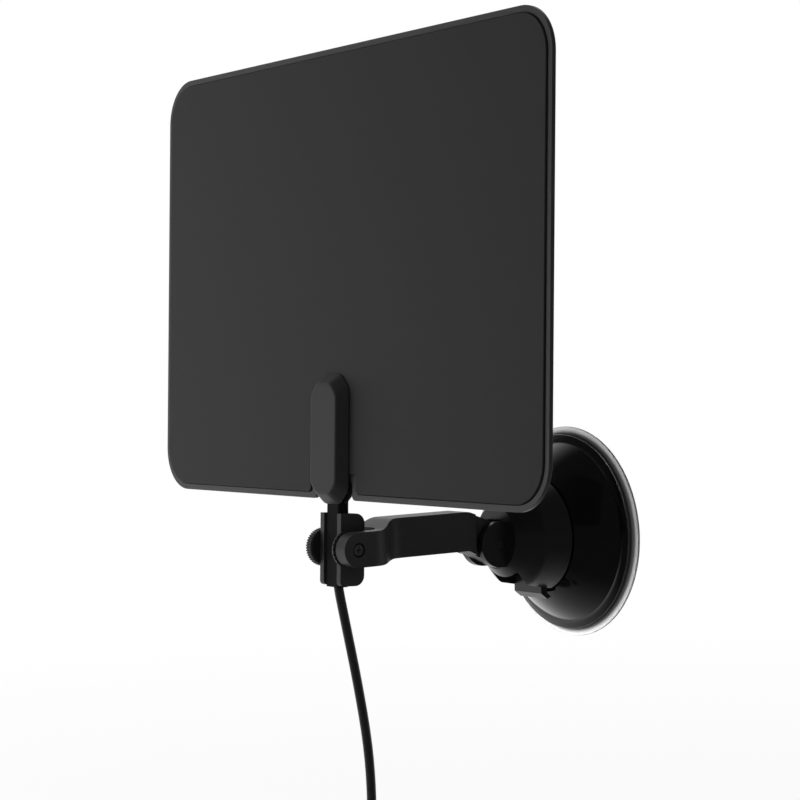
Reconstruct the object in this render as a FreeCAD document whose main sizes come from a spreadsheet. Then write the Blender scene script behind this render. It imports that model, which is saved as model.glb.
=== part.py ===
import FreeCAD, Part
import math
import os

import Sketcher

# TV antenna on a suction-cup arm.
# The frame stands on the wall: origin at the middle of the suction face, +Y into the wall,
# +Z up, and the antenna faces -Y. Lengths are millimetres and angles are degrees.
# A "reach" is a distance out from the wall, so it is counted along -Y.

DRIVING_SIZES = [
    # Suction pad and its plunger
    ("pad_radius", 37.5),
    ("pad_lip", 1.6),
    ("pad_slope_radius", 33.0),
    ("pad_thickness", 3.0),
    ("pad_hub_radius", 11.0),
    ("pad_hub_height", 7.6),
    ("foot_radius", 8.0),
    ("foot_thickness", 2.0),
    ("foot_drop", 0.8),
    ("plunger_radius", 4.0),
    ("plunger_reach", 23.4),
    ("crosshead_thickness", 1.6),
    ("crosshead_width", 12.0),
    ("crosshead_below", 11.8),
    ("crosshead_above", 5.0),
    # Bell
    ("flange_radius", 35.2),
    ("flange_edge", 1.9),
    ("flange_slope", 1.0),
    ("dome_radius", 33.2),
    ("dome_arc_centre", 17.5),
    ("bell_top_radius", 21.2),
    ("bell_top", 15.6),
    ("bell_roof", 2.4),
    ("bell_inner_radius", 31.4),
    ("bell_inner_top_radius", 19.5),
    ("seat_radius", 18.6),
    ("seat_step", 0.6),
    ("spigot_wall", 1.0),
    ("spigot_step", 0.7),
    ("guide_radius", 7.6),
    ("guide_bottom", 8.4),
    ("guide_top", 16.6),
    # Collar with its ears
    ("collar_radius", 20.2),
    ("collar_shoulder_radius", 18.4),
    ("collar_shoulder", 26.5),
    ("collar_shoulder_round", 3.0),
    ("collar_top_radius", 11.0),
    ("collar_top", 34.0),
    ("collar_bore_radius", 16.4),
    ("collar_bore_top", 25.6),
    ("knuckle_reach", 36.8),
    ("knuckle_drop", 1.8),
    ("ear_radius", 8.0),
    ("ear_gap", 6.6),
    ("ear_thickness", 2.7),
    ("lever_slot_low", 22.0),
    ("lever_slot_high", 10.5),
    ("lever_slot_reach", 31.0),
    # Lock lever
    ("lever_width", 15.0),
    ("lever_pin_reach", 19.2),
    ("lever_pin_drop", 11.5),
    ("lever_pin_radius", 1.25),
    ("lever_pin_length", 26.8),
    ("lever_hub_radius", 2.5),
    ("cam_throw", 1.5),
    ("neck_rear_reach", 17.6),
    ("neck_thickness", 2.8),
    ("tab_thickness", 2.2),
    ("tab_start_drop", 22.4),
    ("tab_end_reach", 9.2),
    ("tab_end_drop", 33.7),
    ("tab_edge", 0.7),
    # Thumb-screws and the caught nut
    ("knob_radius", 6.4),
    ("knob_thickness", 3.2),
    ("knob_groove", 0.45),
    ("knob_grooves", 36),
    ("knob_hub_radius", 3.6),
    ("knob_hub_height", 0.6),
    ("thread_radius", 1.9),
    ("nut_across_flats", 6.4),
    ("nut_depth", 2.1),
    # Arm
    ("arm_span", 63.9),
    ("arm_rise", 3.4),
    ("beam_width", 11.0),
    ("beam_top", 8.8),
    ("beam_bottom", 4.7),
    ("beam_front", 14.2),
    ("beam_start", 18.0),
    ("cheek_radius", 6.9),
    ("cheek_inner", 7.7),
    ("cheek_thickness", 5.3),
    ("cheek_length", 10.8),
    ("cheek_bottom", 6.5),
    ("eye_radius", 7.6),
    ("eye_thickness", 6.2),
    ("eye_room_gap", 0.9),
    ("eye_shoulder", 9.4),
    ("eye_slope", 12.9),
    ("bend_radius", 2.4),
    ("recess_radius", 2.4),
    ("recess_depth", 1.2),
    ("pivot_screw_radius", 1.25),
    # Toothed joint
    ("teeth", 24),
    ("tooth_depth", 0.45),
    ("tooth_groove", 0.8),
    ("tooth_ring_height", 0.6),
    ("tooth_ring_radius", 6.2),
    ("tooth_ring_bore", 3.6),
    ("tooth_gap", 0.2),
    # Stem and clip
    ("stem_width", 7.4),
    ("stem_front", 2.0),
    ("stem_depth", 4.2),
    ("stem_bottom", 12.8),
    ("stem_edge", 0.8),
    ("stem_anchor_width", 11.2),
    ("stem_anchor_low", 17.2),
    ("stem_anchor_high", 21.0),
    ("clip_wall", 2.2),
    ("clip_front", 2.7),
    ("clip_rear", 6.8),
    ("clip_top", 11.65),
    ("clip_bottom", 12.35),
    ("clip_corner", 3.5),
    ("clip_front_corner", 1.5),
    # Panel
    ("antenna_lean", 2.65),
    ("panel_width", 224.0),
    ("panel_height", 150.0),
    ("panel_low", 16.15),
    ("panel_corner", 15.0),
    ("rim_width", 2.0),
    ("rim_depth", 1.4),
    ("tray_floor", 0.7),
    ("face_step", 0.6),
    ("face_edge", 0.35),
    ("notch_width", 25.0),
    ("notch_height", 6.2),
    ("notch_corner", 1.5),
    ("element_width", 190.0),
    ("element_low", 62.0),
    ("element_height", 92.0),
    ("element_feed_width", 9.0),
    ("element_feed_low", 33.0),
    ("element_thickness", 0.2),
    # Amplifier housing
    ("housing_width", 19.6),
    ("housing_low", 14.35),
    ("housing_height", 43.8),
    ("housing_depth", 4.2),
    ("housing_cut", 6.0),
    ("housing_side_bevel", 1.8),
    ("housing_end_bevel", 3.7),
    ("housing_wall", 1.4),
    ("housing_edge", 0.5),
    ("boss_radius", 2.2),
    ("boss_low", 27.0),
    ("boss_high", 50.0),
    ("small_screw_radius", 1.1),
    ("small_head_radius", 2.2),
    ("small_head_depth", 1.2),
    ("board_width", 12.4),
    ("board_low", 30.5),
    ("board_height", 16.5),
    ("board_thickness", 1.0),
    # Lead
    ("cable_radius", 1.6),
    ("cable_exit", 0.5),
    ("cable_hold", 1.3),
    ("coil_radius", 18.5),
    ("coil_bundle_radius", 6.3),
    ("coil_drop", 14.4),
    ("tie_wall", 0.9),
    ("tie_squeeze", 0.1),
    ("tie_sweep", 18.0),
    ("grip_rear_radius", 2.6),
    ("grip_radius", 6.0),
    ("grip_taper", 8.0),
    ("grip_length", 21.0),
    ("barrel_radius", 4.75),
    ("barrel_bore_radius", 4.1),
    ("barrel_length", 10.0),
    ("barrel_root", 3.0),
    ("barrel_web", 1.0),
    ("plug_pin_radius", 1.2),
    # Clearances
    ("fit_gap", 0.05),
    ("turn_gap", 0.08),
    ("side_gap", 0.2),
    ("free_gap", 0.35),
]

# The hand-chosen route of the lead below the end of the stem, as seen in the photo: Y and Z from that end.
LEAD_ROUTE = [
    (2.2, -10.9),
    (6.7, -32.8),
    (10.3, -54.7),
    (11.1, -72.8),
    (10.8, -89.4),
]
# The short way from the coil to the plug, as X, Y and Z from the coil's centre.
END_ROUTE = [
    (2.5, -4.4, 20.4),
    (14.5, -6.0, 21.4),
    (26.5, -6.0, 17.0),
    (33.0, -5.8, 7.0),
    (34.0, -5.5, -5.0),
]
# How much of the shorter run an arc of the lead may use at a bend.
BEND_SHARE = 0.45

TINY = 1e-6
ROUND_TRIP = 360

doc = FreeCAD.newDocument("TvAntenna")
sheet = doc.addObject("Spreadsheet::Sheet", "Sizes")
for row, (alias, number) in enumerate(DRIVING_SIZES, start=1):
    sheet.set("A%d" % row, alias)
    sheet.set("B%d" % row, str(number))
    sheet.setAlias("B%d" % row, alias)
doc.recompute()


class Size:
    """A length that knows its number and the sheet expression that gives it."""

    def __init__(self, value, text):
        self.value = float(value)
        self.text = text

    def join(self, other, sign, value):
        return Size(value, "(%s %s %s)" % (self.text, sign, other.text))

    def __add__(self, other):
        other = as_size(other)
        return self.join(other, "+", self.value + other.value)

    def __sub__(self, other):
        other = as_size(other)
        return self.join(other, "-", self.value - other.value)

    def __mul__(self, other):
        other = as_size(other)
        return self.join(other, "*", self.value * other.value)

    def __truediv__(self, other):
        other = as_size(other)
        return self.join(other, "/", self.value / other.value)

    def __neg__(self):
        return as_size(0) - self


def as_size(amount):
    if isinstance(amount, Size):
        return amount
    amount = round(amount, 9)
    return Size(amount, "%.9g" % amount)


class SizeSheet:
    """Gives each cell of the sheet as a Size under its alias."""

    def __getattr__(self, alias):
        return Size(getattr(sheet, alias), "Sizes." + alias)


s = SizeSheet()
nothing = as_size(0)


def bind(feature, path, amount):
    """Ties a property to the sheet."""
    feature.setExpression(path, as_size(amount).text)


def new_body(label):
    body = doc.addObject("PartDesign::Body", label)
    body.Label = label
    return body


def origin_feature(body, role):
    for feature in body.Origin.OriginFeatures:
        if feature.Role == role:
            return feature
    raise ValueError("no origin feature " + role)


def new_sketch(body, plane, offset=0):
    """An empty sketch on an origin plane, moved along the plane's normal by offset."""
    offset = as_size(offset)
    sketch = body.newObject("Sketcher::SketchObject", body.Label + "_sketch")
    sketch.AttachmentSupport = [(origin_feature(body, plane), "")]
    sketch.MapMode = "FlatFace"
    sketch.AttachmentOffset = FreeCAD.Placement(FreeCAD.Vector(0, 0, offset.value), FreeCAD.Rotation())
    if offset.text != nothing.text:
        sketch.setExpression(".AttachmentOffset.Base.z", offset.text)
    return sketch


def pin_axis(sketch, edge, point, kind, axis, amount):
    """Fixes one coordinate of a sketch point to a Size."""
    amount = as_size(amount)
    if abs(amount.value) < TINY:
        sketch.addConstraint(Sketcher.Constraint("PointOnObject", edge, point, axis))
        return
    index = sketch.addConstraint(Sketcher.Constraint(kind, -1, 1, edge, point, amount.value))
    sketch.setExpression("Constraints[%d]" % index, amount.text)


def pin_point(sketch, edge, point, across, up):
    pin_axis(sketch, edge, point, "DistanceX", -2, across)
    pin_axis(sketch, edge, point, "DistanceY", -1, up)


class Arc:
    """An arc to the next corner about a centre; its place across is pinned."""

    def __init__(self, across, up, counter_clockwise):
        self.across = as_size(across)
        self.up = as_size(up)
        self.counter_clockwise = counter_clockwise


def draw_loop(sketch, corners):
    """A closed outline of straight edges and arcs, with every corner tied to the sheet."""
    corners = [(as_size(c[0]), as_size(c[1]), c[2] if len(c) > 2 else None) for c in corners]
    points = [FreeCAD.Vector(c[0].value, c[1].value, 0) for c in corners]
    edges = []
    for number, corner in enumerate(corners):
        start = points[number]
        end = points[(number + 1) % len(points)]
        arc = corner[2]
        if arc is None:
            edges.append((sketch.addGeometry(Part.LineSegment(start, end), False), 1, 2))
            continue
        centre = FreeCAD.Vector(arc.across.value, arc.up.value, 0)
        first, last = (start, end) if arc.counter_clockwise else (end, start)
        circle = Part.Circle(centre, FreeCAD.Vector(0, 0, 1), (first - centre).Length)
        angles = [math.atan2(p.y - centre.y, p.x - centre.x) for p in (first, last)]
        edge = sketch.addGeometry(Part.ArcOfCircle(circle, angles[0], angles[1]), False)
        edges.append((edge, 1, 2) if arc.counter_clockwise else (edge, 2, 1))
    for number, (edge, head, tail) in enumerate(edges):
        following = edges[(number + 1) % len(edges)]
        sketch.addConstraint(Sketcher.Constraint("Coincident", edge, tail, following[0], following[1]))
    for (edge, head, tail), corner in zip(edges, corners):
        pin_point(sketch, edge, head, corner[0], corner[1])
        if corner[2] is not None:
            pin_axis(sketch, edge, 3, "DistanceX", -2, corner[2].across)


def draw_circles(sketch, rounds):
    """Circles, each given as across, up and radius."""
    for across, up, radius in rounds:
        radius = as_size(radius)
        centre = FreeCAD.Vector(as_size(across).value, as_size(up).value, 0)
        edge = sketch.addGeometry(Part.Circle(centre, FreeCAD.Vector(0, 0, 1), radius.value), False)
        index = sketch.addConstraint(Sketcher.Constraint("Radius", edge, radius.value))
        sketch.setExpression("Constraints[%d]" % index, radius.text)
        pin_point(sketch, edge, 3, across, up)


def outline(body, plane, corners, offset=0):
    sketch = new_sketch(body, plane, offset)
    draw_loop(sketch, corners)
    return sketch


def circles(body, plane, rounds, offset=0):
    sketch = new_sketch(body, plane, offset)
    draw_circles(sketch, rounds)
    return sketch


def rectangle(left, low, right, high):
    return [(left, low), (right, low), (right, high), (left, high)]


def sign(number):
    return (number > TINY) - (number < -TINY)


def rounded(corners):
    """Turns the square corners of an outline into arcs; each corner gives its own radius."""
    corners = [tuple(as_size(part) for part in corner) for corner in corners]
    result = []
    for number, (across, up, radius) in enumerate(corners):
        before = corners[number - 1]
        after = corners[(number + 1) % len(corners)]
        into = (sign(across.value - before[0].value), sign(up.value - before[1].value))
        away = (sign(after[0].value - across.value), sign(after[1].value - up.value))
        start = (across - radius * into[0], up - radius * into[1])
        end = (across + radius * away[0], up + radius * away[1])
        centre = (start[0] + radius * away[0], start[1] + radius * away[1])
        turns_left = into[0] * away[1] - into[1] * away[0] > 0
        result.append((*start, Arc(*centre, turns_left)))
        result.append(end)
    return result


def pad(body, sketch, length):
    """Grows along the sketch's normal: +X, +Z, or -Y for a sketch on the XZ plane."""
    feature = body.newObject("PartDesign::Pad", body.Label + "_pad")
    feature.Profile = sketch
    bind(feature, "Length", length)
    doc.recompute()
    return feature


def pocket(body, sketch, depth):
    """Cuts against the sketch's normal and makes sure that something was cut away."""
    before = body.Shape.Volume
    feature = body.newObject("PartDesign::Pocket", body.Label + "_pocket")
    feature.Profile = sketch
    bind(feature, "Length", depth)
    doc.recompute()
    if not TINY < body.Shape.Volume < before - TINY:
        raise ValueError("a pocket of %s cuts nothing, or cuts all" % body.Label)
    return feature


def revolve(body, sketch):
    """Turns a sketch round its own upright axis."""
    feature = body.newObject("PartDesign::Revolution", body.Label + "_revolution")
    feature.Profile = sketch
    feature.ReferenceAxis = (sketch, ["V_Axis"])
    feature.Angle = ROUND_TRIP
    doc.recompute()
    return feature


def repeat_round(body, feature, axis, count):
    pattern = body.newObject("PartDesign::PolarPattern", body.Label + "_pattern")
    pattern.Originals = [feature]
    pattern.Axis = (origin_feature(body, axis), [""])
    pattern.Angle = ROUND_TRIP
    bind(pattern, "Occurrences", count)
    body.Tip = pattern
    doc.recompute()


def round_edges(body, radius, chosen):
    """Fillets the edges of the body's last feature that the test picks."""
    base = body.Tip
    names = ["Edge%d" % n for n, edge in enumerate(base.Shape.Edges, start=1) if chosen(edge)]
    if not names:
        raise ValueError("no edge to round on " + body.Label)
    feature = body.newObject("PartDesign::Fillet", body.Label + "_fillet")
    feature.Base = (base, names)
    bind(feature, "Radius", radius)
    doc.recompute()


def near(first, second):
    return abs(first - second) < 0.01


def lies_along(edge, axis):
    """True for a straight edge parallel to X, Y or Z."""
    box = edge.BoundBox
    spans = {"X": box.XLength, "Y": box.YLength, "Z": box.ZLength}
    along = spans.pop(axis)
    return along > TINY and all(span < 0.001 for span in spans.values())


def lies_at_y(edge, place):
    return near(edge.BoundBox.YMin, place) and near(edge.BoundBox.YMax, place)


# Places of the two pivots. The antenna's own frame starts at the front pivot and leans back.
pivot_reach = s.knuckle_reach + s.arm_span
pivot_height = s.arm_rise - s.knuckle_drop
BACKWARD_TURN = FreeCAD.Vector(-1, 0, 0)
front_pivot = FreeCAD.Vector(0, -pivot_reach.value, pivot_height.value)
arm_place = FreeCAD.Placement(front_pivot, FreeCAD.Rotation())
antenna_place = FreeCAD.Placement(front_pivot, FreeCAD.Rotation(BACKWARD_TURN, s.antenna_lean.value))
finished = []


def finish(piece):
    """Puts a finished piece in the list that is written."""
    finished.append(piece)


def finish_on_arm(piece):
    piece.Placement = arm_place
    bind(piece, ".Placement.Base.y", -pivot_reach)
    bind(piece, ".Placement.Base.z", pivot_height)
    finish(piece)


def finish_on_antenna(piece):
    piece.Placement = antenna_place
    bind(piece, ".Placement.Base.y", -pivot_reach)
    bind(piece, ".Placement.Base.z", pivot_height)
    bind(piece, ".Placement.Rotation.Angle", s.antenna_lean)
    finish(piece)


# Suction pad: flat face on the wall, thin lip, and a hub that holds the plunger's foot
foot_top = s.pad_thickness + s.foot_thickness
foot_ceiling = foot_top + s.fit_gap
foot_floor = s.pad_thickness - s.foot_drop
foot_room = s.foot_radius + s.fit_gap
stem_hole = s.plunger_radius + s.free_gap
pad_body = new_body("suction_pad")
revolve(pad_body, outline(pad_body, "XY_Plane", [
    (0, 0),
    (s.pad_radius, 0),
    (s.pad_radius, -s.pad_lip),
    (s.pad_slope_radius, -s.pad_thickness),
    (s.pad_hub_radius, -s.pad_thickness),
    (s.pad_hub_radius, -s.pad_hub_height),
    (stem_hole, -s.pad_hub_height),
    (stem_hole, -foot_ceiling),
    (foot_room, -foot_ceiling),
    (foot_room, -foot_floor),
    (0, -foot_floor),
]))
finish(pad_body)

# Plunger: foot in the pad's hub, round stem, and a crosshead that the lever's cam lifts
plunger = new_body("plunger")
revolve(plunger, outline(plunger, "XY_Plane", [
    (0, -s.pad_thickness),
    (s.foot_radius, -s.pad_thickness),
    (s.foot_radius, -foot_top),
    (s.plunger_radius, -foot_top),
    (s.plunger_radius, -s.plunger_reach),
    (0, -s.plunger_reach),
]))
half_crosshead = s.crosshead_width / 2
crosshead = rectangle(-half_crosshead, -s.crosshead_below, half_crosshead, s.crosshead_above)
pad(plunger, outline(plunger, "XZ_Plane", crosshead, s.plunger_reach), s.crosshead_thickness)
finish(plunger)

# Bell: flange on the pad, glossy dome, seat for the collar and a guide for the plunger
bell_low = s.pad_thickness
flange_top = bell_low + s.flange_edge
dome_low = flange_top + s.flange_slope
seat_top = s.bell_top + s.seat_step
spigot_radius = s.collar_bore_radius - s.side_gap
spigot_inside = spigot_radius - s.spigot_wall
spigot_top = seat_top + s.spigot_step
guide_bore = s.plunger_radius + s.fit_gap
roof_inside = s.bell_top - s.bell_roof
dome_lean = (s.dome_radius - s.bell_top_radius) / (s.bell_top - dome_low)
dome_middle = (s.dome_radius + s.bell_top_radius) / 2
dome_centre_reach = (dome_low + s.bell_top) / 2 - (dome_middle - s.dome_arc_centre) * dome_lean
dome_arc = Arc(s.dome_arc_centre, -dome_centre_reach, False)
bell = new_body("cup_bell")
revolve(bell, outline(bell, "XY_Plane", [
    (s.flange_radius, -bell_low),
    (s.flange_radius, -flange_top),
    (s.dome_radius, -dome_low, dome_arc),
    (s.bell_top_radius, -s.bell_top),
    (s.seat_radius, -s.bell_top),
    (s.seat_radius, -seat_top),
    (spigot_radius, -seat_top),
    (spigot_radius, -spigot_top),
    (spigot_inside, -spigot_top),
    (spigot_inside, -s.bell_top),
    (s.guide_radius, -s.bell_top),
    (s.guide_radius, -s.guide_top),
    (guide_bore, -s.guide_top),
    (guide_bore, -s.guide_bottom),
    (s.guide_radius, -s.guide_bottom),
    (s.guide_radius, -roof_inside),
    (s.bell_inner_top_radius, -roof_inside),
    (s.bell_inner_radius, -bell_low),
]))
finish(bell)

# Collar: conical neck on the bell, two ears for the arm's eye, a slot for the lever
collar = new_body("neck_collar")
revolve(collar, outline(collar, "XY_Plane", [
    (s.collar_bore_radius, -seat_top),
    (s.collar_radius, -seat_top),
    (s.collar_shoulder_radius, -s.collar_shoulder),
    (s.collar_top_radius, -s.collar_top),
    (0, -s.collar_top),
    (0, -s.collar_bore_top),
    (s.collar_bore_radius, -s.collar_bore_top),
]))
round_edges(collar, s.collar_shoulder_round, lambda edge: lies_at_y(edge, -s.collar_shoulder.value))
half_ear_gap = s.ear_gap / 2
ear_outside = half_ear_gap + s.ear_thickness
ear_root = -(s.collar_bore_top + s.ear_thickness)
ear_high = s.ear_radius - s.knuckle_drop
ear_low = -s.knuckle_drop - s.ear_radius
ear_profile = [
    (ear_root, ear_low),
    (ear_root, ear_high),
    (-s.knuckle_reach, ear_high, Arc(-s.knuckle_reach, -s.knuckle_drop, True)),
    (-s.knuckle_reach, ear_low),
]
for ear_start in (half_ear_gap, -ear_outside):
    pad(collar, outline(collar, "YZ_Plane", ear_profile, ear_start), s.ear_thickness)
knuckle = (-s.knuckle_reach, -s.knuckle_drop)
eye_room = s.eye_radius + s.eye_room_gap
pocket(collar, circles(collar, "YZ_Plane", [(*knuckle, eye_room)], half_ear_gap), s.ear_gap)
half_lever = s.lever_width / 2
half_lever_slot = half_lever + s.side_gap
lever_slot = rectangle(-s.lever_slot_reach, -s.lever_slot_low, -s.bell_top, -s.lever_slot_high)
pocket(collar, outline(collar, "YZ_Plane", lever_slot, half_lever_slot), half_lever_slot * 2)
lever_axis = (-s.lever_pin_reach, -s.lever_pin_drop)
half_pin = s.lever_pin_length / 2
pin_bore = s.lever_pin_radius + s.fit_gap
pocket(collar, circles(collar, "YZ_Plane", [(*lever_axis, s.lever_pin_radius)], half_pin), s.lever_pin_length)
screw_bore = s.thread_radius + s.turn_gap
pocket(collar, circles(collar, "YZ_Plane", [(*knuckle, screw_bore)], ear_outside), ear_outside * 2)


def hexagon(across, up, across_flats):
    """Six corners about a centre, with two of them level with it."""
    corner = across_flats / math.sqrt(3)
    turns = [math.radians(60 * step) for step in range(6)]
    return [(across + corner * math.cos(turn), up + corner * math.sin(turn)) for turn in turns]


knob_room = s.knob_radius + s.free_gap
pocket(collar, circles(collar, "YZ_Plane", [(*knuckle, knob_room)], -ear_outside), s.collar_radius)
nut_corners = hexagon(*knuckle, s.nut_across_flats)
pocket(collar, outline(collar, "YZ_Plane", nut_corners, ear_outside), s.nut_depth)
finish(collar)

# Nut caught in the near ear
nut = new_body("rear_nut")
nut_start = ear_outside - s.nut_depth
pad(nut, outline(nut, "YZ_Plane", nut_corners, nut_start), s.nut_depth)
pocket(nut, circles(nut, "YZ_Plane", [(*knuckle, s.thread_radius + s.fit_gap)], ear_outside), s.nut_depth)
finish(nut)

# Lever pin, seated in the collar's walls
pin = new_body("lever_pin")
pad(pin, circles(pin, "YZ_Plane", [(*lever_axis, s.lever_pin_radius)], -half_pin), s.lever_pin_length)
finish(pin)

# Lock lever: hub and cam on the pin, neck through the slot, tab that lies over the bell
lever = new_body("lock_lever")
tab_run = s.tab_end_drop - s.tab_start_drop
tab_fall = s.neck_rear_reach - s.tab_end_reach
tab_length = math.hypot(tab_run.value, tab_fall.value)
tab_outward = s.tab_thickness * tab_run / tab_length
tab_downward = s.tab_thickness * tab_fall / tab_length
neck_front_reach = s.neck_rear_reach + s.neck_thickness
lever_profile = [
    (-s.neck_rear_reach, -s.lever_pin_drop),
    (-s.neck_rear_reach, -s.tab_start_drop),
    (-s.tab_end_reach, -s.tab_end_drop),
    (-s.tab_end_reach - tab_outward, -s.tab_end_drop - tab_downward),
    (-neck_front_reach, -s.tab_start_drop),
    (-neck_front_reach, -s.lever_pin_drop),
]
pad(lever, outline(lever, "YZ_Plane", lever_profile, -half_lever), s.lever_width)
tab_tip = -s.tab_end_drop.value
round_edges(lever, s.tab_edge, lambda edge: lies_along(edge, "X") and edge.BoundBox.ZMax < tab_tip + 0.1)
pad(lever, circles(lever, "YZ_Plane", [(*lever_axis, s.lever_hub_radius)], -half_lever), s.lever_width)
cam_axis = (lever_axis[0] - s.cam_throw, lever_axis[1])
cam_radius = s.plunger_reach - s.side_gap - s.lever_pin_reach - s.cam_throw
pad(lever, circles(lever, "YZ_Plane", [(*cam_axis, cam_radius)], -half_lever), s.lever_width)
pocket(lever, circles(lever, "YZ_Plane", [(*lever_axis, pin_bore)], half_lever), s.lever_width)
finish(lever)


def thumb_screw(label, head_inside, tip):
    """A screw along the X axis of its own frame, with a knurled head on the far side."""
    screw = new_body(label)
    head_outside = head_inside - s.knob_thickness
    pad(screw, circles(screw, "YZ_Plane", [(0, 0, s.knob_radius)], head_outside), s.knob_thickness)
    groove = [
        (-s.knob_groove, s.knob_radius + s.knob_groove),
        (0, s.knob_radius - s.knob_groove),
        (s.knob_groove, s.knob_radius + s.knob_groove),
    ]
    cut = pocket(screw, outline(screw, "YZ_Plane", groove, head_inside), s.knob_thickness)
    repeat_round(screw, cut, "X_Axis", s.knob_grooves)
    hub = circles(screw, "YZ_Plane", [(0, 0, s.knob_hub_radius)], head_outside - s.knob_hub_height)
    pad(screw, hub, s.knob_hub_height)
    pad(screw, circles(screw, "YZ_Plane", [(0, 0, s.thread_radius)], head_inside), tip - head_inside)
    return screw


# Rear thumb-screw through both ears and the eye into the nut
rear_screw = thumb_screw("rear_thumb_screw", -(ear_outside + s.side_gap), ear_outside)
rear_screw.Placement = FreeCAD.Placement(FreeCAD.Vector(0, knuckle[0].value, knuckle[1].value), FreeCAD.Rotation())
bind(rear_screw, ".Placement.Base.y", knuckle[0])
bind(rear_screw, ".Placement.Base.z", knuckle[1])
finish(rear_screw)


def cut_teeth(body, crest, depth):
    """Radial teeth in a ring round the X axis; depth is negative for a ring that faces -X."""
    half_groove = s.tooth_groove / 2
    reach = s.tooth_ring_radius + s.tooth_depth
    groove = [(crest, -half_groove), (crest, half_groove), (crest - depth, 0)]
    groove_length = reach - s.tooth_ring_bore + s.tooth_depth
    cut = pocket(body, outline(body, "XY_Plane", groove, reach), groove_length)
    repeat_round(body, cut, "X_Axis", s.teeth)


# Arm: plan outline with an offset bend, trimmed to the side outline with an eye at each end
arm = new_body("support_arm")
half_beam = s.beam_width / 2
half_eye = s.eye_thickness / 2
cheek_outside = s.cheek_inner + s.cheek_thickness
shoulder = s.arm_span - s.eye_shoulder
slope_start = s.arm_span - s.eye_slope
arm_end = s.arm_span + s.eye_radius
arm_low = s.arm_rise + s.eye_radius + s.cheek_radius
arm_tall = arm_low + s.beam_top * 2
arm_plan = [
    (s.cheek_inner, -s.cheek_radius),
    (cheek_outside, -s.cheek_radius),
    (cheek_outside, s.cheek_length),
    (half_beam, s.beam_start),
    (half_beam, shoulder),
    (half_eye, shoulder),
    (half_eye, arm_end),
    (-half_eye, arm_end),
    (-half_eye, shoulder),
    (-half_beam, shoulder),
    (-half_beam, s.beam_front),
    (s.cheek_inner, s.beam_front),
]
pad(arm, outline(arm, "XY_Plane", arm_plan, -arm_low), arm_tall)


def bend_edge(edge):
    """The upright edges of the offset bend and of the beam's front."""
    box = edge.BoundBox
    if not lies_along(edge, "Z"):
        return False
    at_cheek_end = near(box.XMin, cheek_outside.value) and near(box.YMin, s.cheek_length.value)
    at_beam_start = near(box.XMin, half_beam.value) and near(box.YMin, s.beam_start.value)
    return at_cheek_end or at_beam_start or near(box.YMin, s.beam_front.value)


round_edges(arm, s.bend_radius, bend_edge)
eye_up = -s.arm_rise
side_profile = [
    (0, -s.cheek_radius),
    (s.cheek_length, -s.cheek_bottom),
    (s.beam_start, -s.beam_bottom),
    (slope_start, -s.beam_bottom),
    (s.arm_span, eye_up - s.eye_radius, Arc(s.arm_span, eye_up, True)),
    (s.arm_span, eye_up + s.eye_radius),
    (slope_start, s.beam_top),
    (s.beam_start, s.beam_top),
    (s.cheek_length, s.cheek_radius),
    (0, s.cheek_radius, Arc(0, 0, True)),
]
trim_side = cheek_outside + s.cheek_radius
trim = new_sketch(arm, "YZ_Plane", trim_side)
draw_loop(trim, rectangle(-s.cheek_radius * 2, -arm_low * 2, arm_end + s.eye_radius, arm_tall))
draw_loop(trim, side_profile)
pocket(arm, trim, trim_side * 2)
tooth_crest = s.cheek_inner - s.tooth_ring_height
pad(arm, circles(arm, "YZ_Plane", [(0, 0, s.tooth_ring_radius)], tooth_crest), s.tooth_ring_height)
cut_teeth(arm, tooth_crest, -s.tooth_depth)
pocket(arm, circles(arm, "YZ_Plane", [(0, 0, s.tooth_ring_bore)], s.cheek_inner), s.tooth_ring_height)
pocket(arm, circles(arm, "YZ_Plane", [(0, 0, s.recess_radius)], cheek_outside), s.recess_depth)
pivot_bore = s.pivot_screw_radius + s.turn_gap
pocket(arm, circles(arm, "YZ_Plane", [(0, 0, pivot_bore)], cheek_outside), s.cheek_thickness)
pocket(arm, circles(arm, "YZ_Plane", [(s.arm_span, eye_up, screw_bore)], half_eye), s.eye_thickness)
finish_on_arm(arm)

# Clip: U-shaped channel round the stem, with a toothed boss on its right side
clip = new_body("clip_channel")
half_stem = s.stem_width / 2
stem_rear = s.stem_depth - s.stem_front
channel = half_stem + s.side_gap
channel_rear = stem_rear + s.side_gap
clip_side = channel + s.clip_wall
clip_plan = [
    (-clip_side, -s.clip_front),
    (-channel, -s.clip_front),
    (-channel, channel_rear),
    (channel, channel_rear),
    (channel, -s.clip_front),
    (clip_side, -s.clip_front),
    (clip_side, s.clip_rear),
    (-clip_side, s.clip_rear),
]
pad(clip, outline(clip, "XY_Plane", clip_plan, -s.clip_bottom), s.clip_bottom + s.clip_top)


def clip_rear_edge(edge):
    return lies_along(edge, "X") and near(edge.BoundBox.YMin, s.clip_rear.value)


def clip_front_edge(edge):
    box = edge.BoundBox
    at_bottom = near(box.ZMin, -s.clip_bottom.value)
    return lies_along(edge, "X") and near(box.YMin, -s.clip_front.value) and at_bottom


round_edges(clip, s.clip_corner, clip_rear_edge)
round_edges(clip, s.clip_front_corner, clip_front_edge)
boss_crest = tooth_crest - s.tooth_gap
pad(clip, circles(clip, "YZ_Plane", [(0, 0, s.tooth_ring_radius)], clip_side), boss_crest - clip_side)
cut_teeth(clip, boss_crest, s.tooth_depth)
pocket(clip, circles(clip, "YZ_Plane", [(0, 0, s.tooth_ring_bore)], boss_crest), s.tooth_ring_height)
pocket(clip, circles(clip, "YZ_Plane", [(0, 0, s.pivot_screw_radius)], boss_crest), boss_crest - channel)
clamp_bore = s.thread_radius + s.turn_gap
pocket(clip, circles(clip, "YZ_Plane", [(0, 0, clamp_bore)], -channel), s.clip_wall)
finish_on_antenna(clip)

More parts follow.
